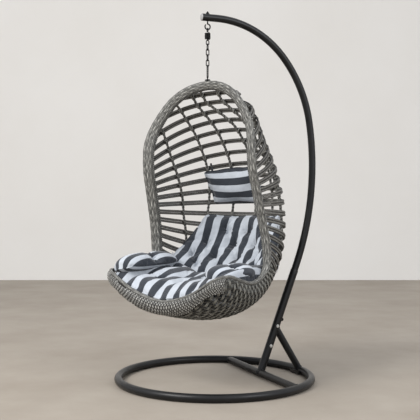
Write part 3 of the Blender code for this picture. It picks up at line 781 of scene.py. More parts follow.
def make_rows(mat):
    """Each row is two strands side by side, from rim to rim, outside the ribs."""
    shades = np.random.default_rng(11).uniform(0.0, 0.45, (ROW_COUNT + 1, 2))
    for j in range(1, ROW_COUNT + 1):
        edge = edge_angles(j, 0.012)[0]
        here, normal, down = row_frames(j, np.linspace(-edge, edge, 121))
        bundle = Bundle()
        for half, shift in enumerate((-ROW_SHIFT, ROW_SHIFT)):
            line = here + normal * ROW_OFFSET + down * shift
            grid, crown = strand_grid(line, normal, *ROW_STRAND, 10)
            # crown paints each strand's face lighter as a painted highlight and its edges darker as
            # painted shade
            bundle.add(grid, distances(line), crown=crown[None], tone=shades[j, half])
        bundle.weave("row_%02d_strands" % j, mat, ["woven_row_%02d" % j])


def make_lashings(mat, ribs):
    """Crossed loops that tie each row to each rib."""
    bundle = Bundle()
    phase = round_turn(20)[:, None]
    turn = round_turn(6)
    for line, rows in ribs:
        for j in range(1, ROW_COUNT + 1):
            if not rows[0] + 0.2 < j < rows[-1]:
                continue
            spot = np.array([np.interp(j, rows, line[:, k]) for k in range(3)])
            n = shell_frames(j, angles_at(j, spot[0]))[1][0]
            nearest = np.argmin(np.abs(rows - j))
            rib_along = unit(line[min(nearest + 1, len(line) - 1)] - line[max(nearest - 1, 0)])
            across = unit(np.cross(rib_along, n))
            for lean in (-LASHING_LEAN, LASHING_LEAN):
                axis = rib_along * math.cos(lean) + across * math.sin(lean)
                centre = spot + n * 0.0048
                loop = centre + (np.cos(phase) * axis + np.sin(phase) * n) * LASHING_R
                outward = unit(loop - centre)
                side = unit(np.cross(tangents(loop, closed=True), outward))
                grid = (loop[:, None] + side[:, None] * (np.cos(turn) * 0.0033)[None, :, None]
                        + outward[:, None] * (np.sin(turn) * 0.0014)[None, :, None])
                # crown paints the loop's faces lighter as a painted highlight and its edges darker as
                # painted shade
                bundle.add(grid, distances(loop), closed=True,
                           crown=0.4 + 0.6 * np.abs(np.sin(turn))[None], tone=0.15)
    bundle.weave("rib_lashings", mat, ())


def tuck(gap, row):
    """Share of its lift that a base strand keeps this far from the rim: its ends tuck in."""
    return (0.25 + 0.75 * np.clip(gap / 0.035, 0, 1)) * np.minimum(0.35 + (LAST_ROW - row) / 1.2, 1.0)


def weft(bundle, row, angles, wave, lift, tone):
    """One pair of base strands; wave carries it over and under the stakes."""
    here, normal, down = row_frames(row, angles)
    for shift in (-BASE_SHIFT, BASE_SHIFT):
        line = here + normal * (BASE_LIFT * lift + BASE_WAVE * wave)[:, None] + down * shift
        grid, crown = strand_grid(line, normal, 0.0058, 0.0030)
        # shade is painted light: the strand's top is painted lighter and its edges darker, and it is
        # painted lighter where it rides over a stake and darker where it dips under
        shade = crown[None] * (0.74 + 0.26 * wave[:, None])
        bundle.add(grid, distances(line), crown=shade, tone=tone)


def make_base(mat):
    """Open weave under the seat: strand pairs over and under closely set stakes, with
    short pairs packed in between along the rim."""
    bundle = Bundle()
    rng = np.random.default_rng(7)
    pitch = 2 * BASE_REACH / (BASE_STAKES - 1)
    step = (BASE_LAST_ROW - BASE_FIRST_ROW) / (BASE_WEFTS - 1)

    def over_under(angles, j):
        return np.cos(np.pi * (angles + BASE_REACH) / pitch + np.pi * j)

    for j in range(BASE_WEFTS):
        row = BASE_FIRST_ROW + step * j
        edge = edge_angles(row, 0.010)[0]
        angles = np.linspace(-edge, edge, 112)
        length = distances(row_frames(row, angles)[0])
        gap = np.minimum(length, length[-1] - length)
        weft(bundle, row, angles, over_under(angles, j), tuck(gap, row), rng.uniform(0, 0.5))
    sink = 0.30 + 0.50 * np.clip(np.linspace(-1.0, 1.0, 40), 0, 1)
    for j in range(BASE_WEFTS - 1):
        row = BASE_FIRST_ROW + step * (j + 0.5)
        edge = edge_angles(row, 0.010)[0]
        for side in (-1.0, 1.0):
            angles = side * np.linspace(edge, max(edge - BASE_PACKED, 0.02), 40)
            gap = distances(row_frames(row, angles)[0])
            weft(bundle, row, angles, 0.5 * over_under(angles, j), tuck(gap, row) - sink,
                 rng.uniform(0.2, 0.7))
    for k in range(BASE_STAKES):
        angle = -BASE_REACH + pitch * k
        rows = np.linspace(BASE_FIRST_ROW - 0.15, BASE_LAST_ROW + 0.1, 80)
        rows = rows[edge_angles(rows, 0.012) > abs(angle)]
        if len(rows) < 6:
            continue
        here, normal, _ = shell_frames(rows, angle)
        gap = np.linalg.norm(here - rim_line(rows, -1.0 if angle < 0 else 1.0), axis=1)
        line = here + normal * (BASE_LIFT * tuck(gap - 0.010, rows))[:, None]
        grid, crown = strand_grid(line, normal, 0.0075, 0.0030)
        # The stakes' crown is halved: painted shade all along them, for lying beneath the wefts
        bundle.add(grid, distances(line), crown=crown[None] * 0.5, tone=rng.uniform(0.5, 0.9))
    bundle.weave("base_weave", mat, ["woven_base"])


def refine(table, counts):
    """A grid of points, resampled evenly to more rows and columns."""
    a = np.linspace(0, len(table) - 1, counts[0])
    b = np.linspace(0, table.shape[1] - 1, counts[1])
    first = np.stack([[np.interp(a, np.arange(len(table)), table[:, k, m])
                       for k in range(table.shape[1])] for m in range(3)], 0)
    first = first.transpose(2, 1, 0)
    return np.stack([[np.interp(b, np.arange(table.shape[1]), first[i, :, m])
                      for i in range(counts[0])] for m in range(3)], -1)


def apron_table():
    """Lines down the apron, from inside the lip to its lower edge, side by side."""
    tree = surface_tree(APRON_LIFT, 18.8, size=40)
    rows = np.linspace(APRON_FIRST_ROW, LAST_ROW, 34)
    table = []
    for row, side in [(r, 1.0) for r in rows] + [(r, -1.0) for r in rows[::-1][1:]]:
        rim = rim_line(row, side)[0]
        inward = unit(np.array([-rim[0], -0.05 - rim[1], 0.0]))
        start = rim - inward * 0.010 - np.array([0, 0, 0.004])
        line = []
        for share in np.linspace(0, 1, 9):
            reach = 0.006 + (APRON_WIDTH - 0.006) * share
            guess = rim + (inward * 0.55 + np.array([0, 0, -0.83])) * reach
            spot = np.array(tree.find_nearest(Vector(guess))[0])
            hold = min(share / 0.42, 1.0) ** 0.8
            line.append(start * (1 - hold) + spot * hold)
        table.append(line)
    return np.array(table)


def make_apron(mat):
    """Tightly woven band below the front lip."""
    table = apron_table()
    length = distances(table[:, 4])[-1]
    along = int(length / (APRON_CELL / 6))
    across = int(APRON_WIDTH / (APRON_CELL / 6))
    grid = refine(table, (along, across))
    normal = unit(np.cross(unit(np.gradient(grid, axis=0)), unit(np.gradient(grid, axis=1))))
    centre = np.array([0, -0.10, 0.60])
    normal *= np.sign(np.sum(normal * (grid - centre), -1))[..., None]
    u = np.linspace(0, length, along)[:, None] / APRON_CELL
    v = np.linspace(0, APRON_WIDTH, across)[None] / APRON_CELL
    over = np.cos(np.pi * np.floor(v)) * np.cos(np.pi * u)
    rounded = np.abs(np.sin(np.pi * v)) ** 0.5
    height = 0.0014 * over * rounded + 0.0013 * rounded
    front = grid + normal * height[..., None]
    back = grid - normal * APRON_THICK
    ring = np.concatenate([front, back[:, ::-4]], axis=1)
    rest = (along, ring.shape[1] - across)
    # crown is painted light: strand tops painted lighter where they pass over and darker at their
    # edges and where they dip under; the band's back face gets a low crown of 0.2 as painted shade
    crown = np.clip(rounded * (0.55 + 0.45 * over), 0, 1)
    cells = np.random.default_rng(3).uniform(0, 1, (int(length / APRON_CELL) + 2, 12)) ** 2
    tone = cells[np.floor(u + 0.5).astype(int), np.floor(v).astype(int)]
    bundle = Bundle()
    bundle.add(ring, np.linspace(0, length, along),
               crown=np.concatenate([crown, np.full(rest, 0.2)], axis=1),
               tone=np.concatenate([tone, np.zeros(rest)], axis=1))
    bundle.weave("apron_weave", mat, ["front_apron"], "grey_wicker", sharp=60)


# ---------------------------------------------------------------- stand


def stand_point(s, z, x=0.0):
    """A point of the stand, s behind the middle of its ring."""
    return np.array([x, STAND_Y + s, z])


def lean_s(z):
    """How far back the leaning post's axis is at a height."""
    return LEAN_START[0] + (z - LEAN_START[1]) * math.tan(POST_LEAN)


def pole_points():
    """Centreline of the bent pole: straight in the post, then three arcs to the tip."""
    angle = POST_LEAN
    s = lean_s(POLE_FOOT_Z)
    z = POLE_FOOT_Z
    straight = LEAN_LENGTH - (POLE_FOOT_Z - LEAN_START[1]) / math.cos(POST_LEAN)
    points = [stand_point(s + straight * k / 8 * math.sin(angle),
                          z + straight * k / 8 * math.cos(angle)) for k in range(9)]
    s += straight * math.sin(angle)
    z += straight * math.cos(angle)
    steps = 24
    for radius, turn in POLE_ARCS:
        step = math.radians(turn) / steps
        chord = 2 * radius * math.sin(step / 2)
        for _ in range(steps):
            s += chord * math.sin(angle - step / 2)
            z += chord * math.cos(angle - step / 2)
            angle -= step
            points.append(stand_point(s, z))
    return np.array(points + [stand_point(s + (POLE_TIP_S - s) * k / 6, z) for k in range(1, 7)])


def add_tube(name, points, radius, mat, node, body="stand", sides=32, closed=False):
    bundle = Bundle()
    grid = tube_grid(points, radius, sides, closed)
    bundle.add(grid, distances(np.asarray(points, float)), closed=closed)
    return bundle.build(name, mat, body, [node], sharp=40)


def turned_grid(outline, sides=32):
    """Rings of a lathed outline of (radius, height) pairs, about Z."""
    outline = np.asarray(outline, float)
    angle = round_turn(sides)
    return np.stack([outline[:, :1] * np.cos(angle), outline[:, :1] * np.sin(angle),
                     np.broadcast_to(outline[:, 1:], (len(outline), sides))], -1)


def hexagon_grid(radius, height, chamfer=0.0010):
    """A bolt head or nut with softened corners, standing on Z = 0."""
    angle = round_turn(48)
    flat_side = np.cos(np.pi / 6) / np.cos((angle + np.pi / 6) % (np.pi / 3) - np.pi / 6)
    rings = []
    for most, scale, z in ((0.90, 1, 0.0), (1.0, 1, chamfer * 0.6), (1.0, 1, height - chamfer),
                           (0.90, 1, height), (0.90, 0.0001, height + chamfer * 0.5)):
        reach = np.minimum(flat_side, most) * radius * scale
        rings.append(np.stack([reach * np.cos(angle), reach * np.sin(angle),
                               np.full(48, z)], -1))
    return np.array(rings)


def add_turned(name, grid, mat, node, matrix, body="stand", washer=None):
    bundle = Bundle()
    bundle.add(grid, np.arange(len(grid)) * 0.001)
    if washer:
        bundle.add(turned_grid(((washer, -0.0002), (washer, 0.0012), (washer * 0.5, 0.0014))),
                   np.arange(3) * 0.001)
    bundle.build(name, mat, body, [node], matrix, sharp=30)


def weld_bead(bundle, start, direction, radius, other, reach):
    """A rippled bead where a round bar meets another body; other is that body's distance."""
    direction = unit(np.asarray(direction, float))
    side = unit(np.cross(direction, [0.3, 0.5, 0.8]))
    up = np.cross(direction, side)
    line = []
    for angle in round_turn(96):
        base = start + (side * math.cos(angle) + up * math.sin(angle)) * radius
        low, high = 0.0, reach
        for _ in range(26):
            middle = (low + high) / 2
            if other(base + direction * middle) > 0:
                low = middle
            else:
                high = middle
        line.append(base + direction * low)
    line = np.array(line)
    line[:, 2] = np.maximum(line[:, 2], BEAD_R + BEAD_RIPPLE + 0.0002)
    ripple = BEAD_R + BEAD_RIPPLE * np.cos(2 * np.pi * np.arange(96) / 4)
    bundle.add(tube_grid(line, ripple, 10, closed=True), distances(line), closed=True)


def make_welds(steel, foot, along, top, end, half):
    """Beads round the ends of the cross bar, the post and the brace."""
    def ring_gap(p):
        out = math.hypot(p[0], p[1] - STAND_Y) - RING_R
        return math.hypot(out, p[2] - RING_TUBE_R) - RING_TUBE_R

    def bar_gap(p):
        return math.hypot(p[1] - STAND_Y - BAR_S, p[2] - RING_TUBE_R) - BAR_TUBE_R

    def post_gap(p):
        arm = p - foot
        return np.linalg.norm(arm - along * arm.dot(along)) - POST_R

    bundle = Bundle()
    for side in (-1, 1):
        start = stand_point(BAR_S, RING_TUBE_R, side * (half - 0.10))
        weld_bead(bundle, start, (side, 0, 0), BAR_TUBE_R, ring_gap, 0.12)
    weld_bead(bundle, foot + along * 0.10, -along, POST_R, bar_gap, 0.11)
    weld_bead(bundle, (top + end) / 2, end - top, BRACE_R, ring_gap, 0.16)
    weld_bead(bundle, (top + end) / 2, top - end, BRACE_R, post_gap, 0.16)
    bundle.build("weld_beads", steel, "stand")


def make_foot_plate(steel):
    """Flat tab with rounded corners under the brace's foot."""
    outline = []
    for sx, sz in ((1, 1), (-1, 1), (-1, -1), (1, -1)):
        for k in range(6):
            a = math.atan2(sz, sx) - math.pi / 4 + math.pi / 2 * k / 5
            outline.append((sx * 0.046 + 0.004 * math.cos(a), sz * 0.005 + 0.004 * math.sin(a)))
    outline = np.array(outline)
    rings = []
    for y, grow in ((-0.0035, 0.985), (-0.0028, 1.0), (0.0028, 1.0), (0.0035, 0.985)):
        rings.append(np.stack([outline[:, 0] * grow, np.full(24, y), outline[:, 1] * grow], -1))
    plate = Bundle()
    plate.add(np.array(rings), np.arange(4) * 0.002)
    plate.build("brace_foot_plate", steel, "stand", ["brace_foot"], sharp=30,
                matrix=Matrix.Translation(Vector(stand_point(BRACE_FOOT_S, BRACE_FOOT_Z))))


def make_fasteners(steel, bright, plastic, along, tip):
    """The pole's end cap, the two bolts across the post and the nut behind it."""
    r = POLE_R
    cap = ((0.0002, 0.0056), (r * 0.45, 0.0052), (r * 0.8, 0.0040), (r - 0.0016, 0.0024),
           (r - 0.0004, 0.0008), (r - 0.0005, 0.0), (r - 0.003, 0.0))
    add_turned("pole_cap", turned_grid(cap, 40), plastic, "pole_end_plug",
               Matrix.Translation(Vector(tip)) @ Matrix.Rotation(math.pi / 2, 4, "X"))
    for node, z in BOLT_HEIGHTS:
        place = (Matrix.Translation(Vector(stand_point(lean_s(z), z, POST_R)))
                 @ Matrix.Rotation(math.pi / 2, 4, "Y"))
        add_turned(node + "_head", hexagon_grid(0.0075, 0.005), bright, node, place,
                   washer=0.0085)
    place = (Matrix.Translation(Vector(stand_point(lean_s(POST_NUT_Z), POST_NUT_Z))
                                + Vector((0, along[2], -along[1])) * POST_R)
             @ Matrix.Rotation(-math.pi / 2 - POST_LEAN, 4, "X"))
    add_turned("post_nut_hex", hexagon_grid(0.009, 0.007), steel, "post_nut", place,
               washer=0.0105)


def make_stand(steel, bright, plastic):
    """Ring, cross bar, post, brace and pole; returns the height of the pole's tip."""
    turn = round_turn(192)
    ring = np.stack([RING_R * np.cos(turn), STAND_Y + RING_R * np.sin(turn),
                     np.full(192, RING_TUBE_R)], -1)
    add_tube("ring_tube", ring, RING_TUBE_R - 0.0002, steel, "base_ring", closed=True)
    half = math.sqrt(RING_R ** 2 - BAR_S ** 2)
    bar = np.linspace(stand_point(BAR_S, RING_TUBE_R, -half),
                      stand_point(BAR_S, RING_TUBE_R, half), 60)
    add_tube("bar_tube", bar, BAR_TUBE_R, steel, "cross_bar")

    along = np.array([0, math.sin(POST_LEAN), math.cos(POST_LEAN)])
    foot = stand_point(lean_s(RING_TUBE_R), RING_TUBE_R)
    length = (POST_TOP_Z - RING_TUBE_R) / math.cos(POST_LEAN)
    wall = [(POST_R, length * k / 40) for k in range(39)]
    lip = [(POST_R, length - 0.002), (POST_R - 0.0005, length - 0.0006),
           (POST_R - 0.0014, length), (POLE_R, length), (POLE_R - 0.001, length - 0.004)]
    add_turned("post_tube", turned_grid(wall + lip), steel, "lower_post",
               Matrix.Translation(Vector(foot)) @ Matrix.Rotation(-POST_LEAN, 4, "X"))
    top = stand_point(lean_s(BRACE_TOP_Z), BRACE_TOP_Z)
    end = stand_point(RING_R, RING_TUBE_R)
    brace = top + (end - top) * np.linspace(0.04, 1, 30)[:, None]
    add_tube("brace_tube", brace, BRACE_R, steel, "brace")
    points = pole_points()
    add_tube("pole_tube", resample(points, 0.014)[0], POLE_R, steel, "pole", sides=40)
    make_welds(steel, foot, along, top, end, half)
    make_foot_plate(steel)
    make_fasteners(steel, bright, plastic, along, points[-1])
    return points[-1][2]


# ---------------------------------------------------------------- hook, spring and chain


def hang_line(points):
    """Moves points from the hanging axis at the origin to where it is."""
    return np.asarray(points, float) + np.array([0, HOOK_Y, 0])


def add_ring(name, top, bottom, half_width, across, steel, node, body):
    """An oval wire ring between two crown heights; across is 0 for X or 1 for Y."""
    points = []
    for middle, start in ((top - half_width, 0.0), (bottom + half_width, math.pi)):
        for angle in start + np.linspace(0, math.pi, 15):
            spot = [0.0, 0.0, middle + half_width * math.sin(angle)]
            spot[across] = half_width * math.cos(angle)
            points.append(spot)
    line = resample(hang_line(points), 0.0016, closed=True)[0]
    add_tube(name, line, LINK_WIRE_R, steel, node, body, 14, closed=True)


def make_hook(pole_z, steel):
    """A threaded shank through the pole's end, bent into a ring below."""
    angles = np.radians(90 - 7 * np.arange(46))
    arc = np.stack([np.zeros(46), HOOK_RING_R * np.cos(angles),
                    HOOK_Z + HOOK_RING_R * np.sin(angles)], -1)
    shank = [[0, 0, pole_z + POLE_R + 0.013], [0, 0, HOOK_Z + HOOK_RING_R + 0.004]]
    line = resample(hang_line(np.concatenate([shank, arc])), 0.0012)[0]
    threaded = (line[:, 2] > pole_z + POLE_R + 0.003) & (np.arange(len(line)) % 2 == 0)
    add_tube("hook_bar", line, HOOK_WIRE_R * np.where(threaded, 0.88, 1.0), steel, "hook",
             sides=20)
    add_turned("hook_nut_hex", hexagon_grid(0.0085, 0.007), steel, "hook_nut",
               Matrix.Translation((0, HOOK_Y, pole_z + POLE_R)), washer=0.0100)


def make_spring(steel):
    """The coil and its two eyes; returns the lower eye's inner crown height."""
    crown = HOOK_Z - HOOK_RING_R + HOOK_WIRE_R + LINK_WIRE_R + 0.0005
    add_ring("coil_eye_upper", crown, SPRING_TOP_Z + SPRING_WIRE_R + GAP + LINK_WIRE_R,
             EYE_HALF_WIDTH, 0, steel, "spring_top_loop", "spring")
    turns = np.linspace(0, SPRING_TURNS, int(SPRING_TURNS * 40))
    shrink = np.clip(np.minimum(turns, SPRING_TURNS - turns) / 0.5, 0, 1)
    radius = 0.006 + (SPRING_R - 0.006) * shrink ** 0.5
    coil = np.stack([radius * np.cos(2 * np.pi * turns), radius * np.sin(2 * np.pi * turns),
                     SPRING_TOP_Z - SPRING_PITCH * turns], -1)
    spring = add_tube("coil_wire", hang_line(coil), SPRING_WIRE_R, steel, "spring_coil", None, 12)
    low = SPRING_TOP_Z - SPRING_PITCH * SPRING_TURNS - SPRING_WIRE_R
    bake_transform(spring)
    start = low - GAP - LINK_WIRE_R
    add_ring("coil_eye_lower", start, start - EYE_LENGTH, EYE_HALF_WIDTH, 1, steel,
             "spring_bottom_loop", "spring_end")
    return start - EYE_LENGTH + CROWN_STEP


def make_chain(crown, steel):
    """Four links, the long hanger ring, and the stud that swivels in the plate."""
    for i in range(4):
        add_ring("chain_ring_%d" % (i + 1), crown, crown - LINK_PITCH, LINK_HALF_WIDTH, i % 2,
                 steel, "chain_link_%d" % (i + 1), "spring_end" if i == 0 else "chain")
        crown += CROWN_STEP - LINK_PITCH
    add_ring("hanger_ring", crown, LOOP_END_Z, EYE_HALF_WIDTH, 0, steel, "hanger_loop", "chain")
    eye = LOOP_END_Z - LINK_WIRE_R - GAP
    z = STUD_HEAD_Z
    stud = ((0.0006, eye), (0.0034, eye), (0.0040, eye - 0.0006), (0.0040, z), (0.0062, z),
            (0.0065, z - 0.0003), (0.0065, STUD_END_Z), (0.0006, STUD_END_Z))
    at = Matrix.Translation((0, HOOK_Y, 0))
    add_turned("swivel_stud", turned_grid(stud, 24), steel, "hanger_stud", at, "chain")
    z = PLATE_Z
    plate = ((0.0048, z), (0.0146, z), (0.0150, z + 0.0004), (0.0150, z + 0.0020),
             (0.0130, z + 0.0060), (0.0122, z + 0.0063), (0.0052, z + 0.0063),
             (0.0048, z + 0.0060))
    add_turned("swivel_plate", turned_grid(plate, 40), steel, "hanger_plate", at, "basket")


# ---------------------------------------------------------------- cushions


class Cushion:
    """A closed cushion: an upper grid and a lower grid, joined by a rounded side."""

    def __init__(self, upper, lower, across, along, tufts=(), side_rings=2):
        rows, cols = upper.shape[:2]
        edge = ([(0, k) for k in range(cols)] + [(i, cols - 1) for i in range(1, rows)]
                + [(rows - 1, k) for k in range(cols - 2, -1, -1)]
                + [(i, 0) for i in range(rows - 2, 0, -1)])
        count = rows * cols
        top = [i * cols + k for i, k in edge]
        bottom = [count + i for i in top]
        points = [upper.reshape(-1, 3), lower.reshape(-1, 3)]
        sources = [np.arange(count), np.arange(count)]
        strips = [top]
        middle = (upper[rows // 2, cols // 2] + lower[rows // 2, cols // 2]) / 2
        for r in range(side_rings):
            t = (r + 1) / (side_rings + 1)
            ring = points[0][top] * (1 - t) + points[1][top] * t
            points.append(ring + unit(ring - middle) * 0.006 * math.sin(math.pi * t))
            sources.append(np.array(top))
            strips.append(list(range(2 * count + r * len(edge), 2 * count + (r + 1) * len(edge))))
        self.seam = np.array(strips[(side_rings + 1) // 2])
        strips.append(bottom)
        faces = []
        for i in range(rows - 1):
            for k in range(cols - 1):
                a = i * cols + k
                faces.append((a, a + 1, a + cols + 1, a + cols))
                faces.append((count + a, count + a + cols, count + a + cols + 1, count + a + 1))
        for one, two in zip(strips, strips[1:]):
            for k in range(len(edge)):
                n = (k + 1) % len(edge)
                faces.append((one[k], two[k], two[n], one[n]))
        source = np.concatenate(sources)
        self.points = np.concatenate(points)
        self.faces = faces
        self.stripe = across.ravel()[source]
        self.run = along.ravel()[source]
        self.count = count
        self.tufts = [int(i * cols + k) for i, k in tufts]


def stuffed(name, cushion, mat, node, pressure, cap, grow, piped=True):
    """Presses each tuft in, then lets pressure fill the cover; the lower side is held."""
    turn = np.array(BASKET_MATRIX)
    points = (turn[:3, :3] @ cushion.points.T).T + turn[:3, 3]
    mesh = bpy.data.meshes.new(name)
    mesh.from_pydata(points.tolist(), [], cushion.faces)
    mesh.update()
    fix_normals(mesh)
    mesh.materials.append(mat)
    for key, data in (("stripe", cushion.stripe), ("run", cushion.run)):
        mesh.attributes.new(key, "FLOAT", "POINT").data.foreach_set("value", data.astype(np.float32))
    obj = link(name, mesh)
    count = cushion.count
    held = np.zeros(len(points))
    held[count:2 * count] = 1.0
    upper = points[:count]
    down = np.zeros(count)
    for tuft in cushion.tufts:
        gap = np.linalg.norm(upper - upper[tuft], axis=1)
        down = np.maximum(down, np.exp(-(gap / TUFT_WIDE) ** 1.4))
        held[:count][gap < TUFT_BUTTON] = 1.0
    points[:count] -= read(mesh, "normal")[:count] * (down * TUFT_DEEP)[:, None]
    write(mesh, points)
    settle_cloth(obj, held, pressure, cap, grow)
    smooth_up(obj)
    pinch_folds(mesh, cushion.tufts)
    keep_inside(mesh, surface_tree(-0.010, 14.0))
    mesh.shade_smooth()
    if piped:
        add_piping(name, cushion, mesh, mat)
    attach(obj, "basket")
    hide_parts(node)


def settle_cloth(obj, held, pressure, cap, grow):
    """Fills the cover by pressure; no point moves further than cap."""
    group = obj.vertex_groups.new(name="held")
    for index in np.flatnonzero(held > 0):
        group.add([int(index)], float(held[index]), "REPLACE")
    before = read(obj.data)
    cloth = obj.modifiers.new("cloth", "CLOTH")
    settings = cloth.settings
    settings.quality = 6
    settings.mass = 0.25
    settings.tension_stiffness = 12
    settings.compression_stiffness = 12
    settings.shear_stiffness = 6
    settings.bending_stiffness = 0.4
    settings.use_pressure = True
    settings.uniform_pressure_force = pressure
    settings.vertex_group_mass = "held"
    settings.shrink_min = -grow
    settings.effector_weights.gravity = 0.0
    cloth.collision_settings.use_collision = False
    cloth.point_cache.frame_start = 1
    cloth.point_cache.frame_end = CLOTH_FRAMES
    scene = bpy.context.scene
    for number in range(1, CLOTH_FRAMES + 1):
        scene.frame_set(number)
    depsgraph = bpy.context.evaluated_depsgraph_get()
    move = read(obj.evaluated_get(depsgraph).data) - before
    obj.modifiers.remove(cloth)
    scene.frame_set(1)
    size = np.linalg.norm(move, axis=1)
    move *= (np.minimum(size, cap) / np.maximum(size, 1e-9))[:, None]
    write(obj.data, before + move)


def smooth_up(obj):
    """One round of subdivision, kept in the mesh."""
    modifier = obj.modifiers.new("finer", "SUBSURF")
    modifier.levels = 1
    modifier.render_levels = 1
    bpy.context.view_layer.objects.active = obj
    with bpy.context.temp_override(object=obj, active_object=obj, selected_objects=[obj]):
        bpy.ops.object.modifier_apply(modifier="finer")


def pinch_folds(mesh, tufts):
    """Short folds that run out from each tuft."""
    points = read(mesh)
    normals = read(mesh, "normal")
    rng = np.random.default_rng(5)
    move = np.zeros(len(points))
    for tuft in tufts:
        arm = points - points[tuft]
        n = normals[tuft]
        side = unit(np.cross(n, [0.2, 0.9, 0.1]))
        angle = np.arctan2(arm @ np.cross(n, side), arm @ side)
        gap = np.linalg.norm(arm, axis=1)
        folds = int(rng.integers(5, 8))
        move += (FOLD_HIGH * np.exp(-((gap - 0.024) / 0.020) ** 2)
                 * np.cos(folds * angle + rng.uniform(0, 6.28)))
    write(mesh, points + normals * move[:, None])


def keep_inside(mesh, tree):
    """Cover that swelled out through the weave is laid back against its inner face."""
    to_basket = BASKET_MATRIX.inverted()
    for vertex in mesh.vertices:
        point = to_basket @ vertex.co
        near, normal, _, _ = tree.find_nearest(point, 0.05)
        if near is None:
            continue
        if normal.dot(near - BASKET_MIDDLE) < 0:
            normal = -normal
        over = (point - near).dot(normal)
        if over > 0 and (point - near - normal * over).length < 0.004:
            vertex.co = BASKET_MATRIX @ (point - normal * over)
    mesh.update()


def add_piping(name, cushion, mesh, mat):
    """A corded seam round the middle of the cushion's side."""
    line = read(mesh)[cushion.seam]
    line = (line + np.roll(line, 1, 0) + np.roll(line, -1, 0)) / 3
    line = line + unit(line - line.mean(0)) * 0.0012
    bundle = Bundle()
    bundle.add(tube_grid(line, PIPING_R, 8, closed=True), distances(line), closed=True,
               stripe=cushion.stripe[cushion.seam][:, None], run=distances(line)[:, None])
    bundle.build(name + "_piping", mat, "basket", ())


def bulge(u, v, power):
    """How full a cover is across a unit square: 1 in the middle, 0 at its edges."""
    return (1 - np.abs(u) ** power) ** 0.5 * (1 - np.abs(v) ** power) ** 0.5


def from_middle(grid):
    """Distances across each row of a grid, from its middle column."""
    across = np.stack([distances(line) for line in grid])
    return across - across[:, grid.shape[1] // 2][:, None]


def seat_cushion():
    """A wide pad that lies in the bowl, tufted, with a crease beside the left arm roll."""
    tree = surface_tree(-COVER_GAP, 14.0)
    rows, cols = 54, 74
    uu, vv = np.meshgrid(np.linspace(-1, 1, cols), np.linspace(-1, 1, rows))
    narrow = 1 - 0.12 * np.clip(-vv, 0, 1) ** 2 - 0.04 * np.clip(vv, 0, 1) ** 8
    corner = 1 - 0.10 * np.abs(uu) ** 5
    lateral = uu * SEAT_HALF * narrow
    forward = (SEAT_FRONT + SEAT_BACK) / 2 + vv * (SEAT_FRONT - SEAT_BACK) / 2 * corner
    crest = np.interp(forward, *SEAT_CREST) + 0.95 * lateral ** 2
    groove = np.exp(-((lateral + 0.238 + 0.10 * (forward - 0.20)) / 0.022) ** 2)
    crest = crest - 0.024 * groove * np.clip((forward + 0.06) / 0.06, 0, 1)
    low = crest - 0.04
    for i in range(rows):
        for k in range(cols):
            above = Vector((lateral[i, k], -forward[i, k], 1.1))
            hit = tree.ray_cast(above, Vector((0, 0, -1)))[0]
            if hit:
                low[i, k] = hit.z
    low = np.maximum(low, crest - 0.20)
    high = low + 0.018 + np.maximum(crest - low - 0.018, 0.012) * (0.35 + 0.65 * bulge(uu, vv, 10))
    high = np.maximum(high, low + 0.020)
    upper = np.stack([lateral, -forward, high], -1)
    lower = np.stack([lateral, -forward, np.minimum(low + 0.003, high - 0.012)], -1)
    tufts = []
    for f, l in SEAT_TUFTS:
        gap = (forward - f) ** 2 + (lateral - l) ** 2
        tufts.append(np.unravel_index(np.argmin(gap), gap.shape))
    return Cushion(upper, lower, from_middle(upper), forward, tufts)


def back_cushion():
    """A tufted pad that follows the back and flares low down."""
    rows, cols = 52, 68
    row = np.linspace(12.25, 19.0, rows)
    reach = track(BACK_EDGE, row)[:, 0]
    u = np.linspace(-1, 1, cols)
    v = np.linspace(-1, 1, rows)[:, None]
    here, normal, _ = shell_frames(np.repeat(row, cols), (reach[:, None] * u).ravel())
    normal = normal.reshape(rows, cols, 3)
    thick = 0.026 + (0.036 + 0.040 * (v * 0.5 + 0.5) ** 1.5) * bulge(u[None], v, 6)
    lower = here.reshape(rows, cols, 3) - normal * COVER_GAP
    upper = lower - normal * thick[..., None]
    along = np.broadcast_to(distances(upper[:, cols // 2])[:, None], (rows, cols))
    tufts = []
    for tuft_row, angles in BACK_TUFTS:
        i = int(np.argmin(np.abs(row - tuft_row)))
        tufts += [(i, int(np.argmin(np.abs(reach[i] * u - angle)))) for angle in angles]
    return Cushion(upper, lower, from_middle(upper), along, tufts)


def roll_cushion(start, end, radii, lean, tufts_at):
    """A lying roll between two points, given as forward, lateral and height."""
    rows, cols = 40, 26
    a = np.array([start[1], -start[0], start[2]])
    b = np.array([end[1], -end[0], end[2]])
    side = unit(np.cross(unit(b - a), [0, 0, 1.0]))
    up = np.cross(side, unit(b - a))
    flat_way = side * math.cos(lean) + up * math.sin(lean)
    tall_way = up * math.cos(lean) - side * math.sin(lean)
    v = np.linspace(-1, 1, rows)[:, None]
    taper = np.maximum((1 - np.abs(v) ** 4.5) ** 0.42, 0.12)
    spread = np.linspace(-0.5, 0.5, cols)[None] * math.pi
    middle = ((a + b) / 2)[None, None] + (b - a) * (v[..., None] / 2)
    wide = (np.sin(spread) * radii[0] * taper)[..., None] * flat_way
    tall = (np.cos(spread) * radii[1] * taper)[..., None] * tall_way
    upper = middle + wide + tall
    lower = middle + wide - tall * 0.45
    lower[:, [0, -1]] -= tall_way * 0.004
    upper[:, [0, -1]] += tall_way * 0.004
    across = np.stack([distances(line) for line in upper])
    across = across - across[:, -1:] / 2
    along = np.broadcast_to(np.linalg.norm(b - a) * v / 2, (rows, cols))
    tufts = [(int(round((f + 1) / 2 * (rows - 1))), int(round((g + 1) / 2 * (cols - 1))))
             for f, g in tufts_at]
    return Cushion(upper, lower, across, along, tufts, side_rings=1)


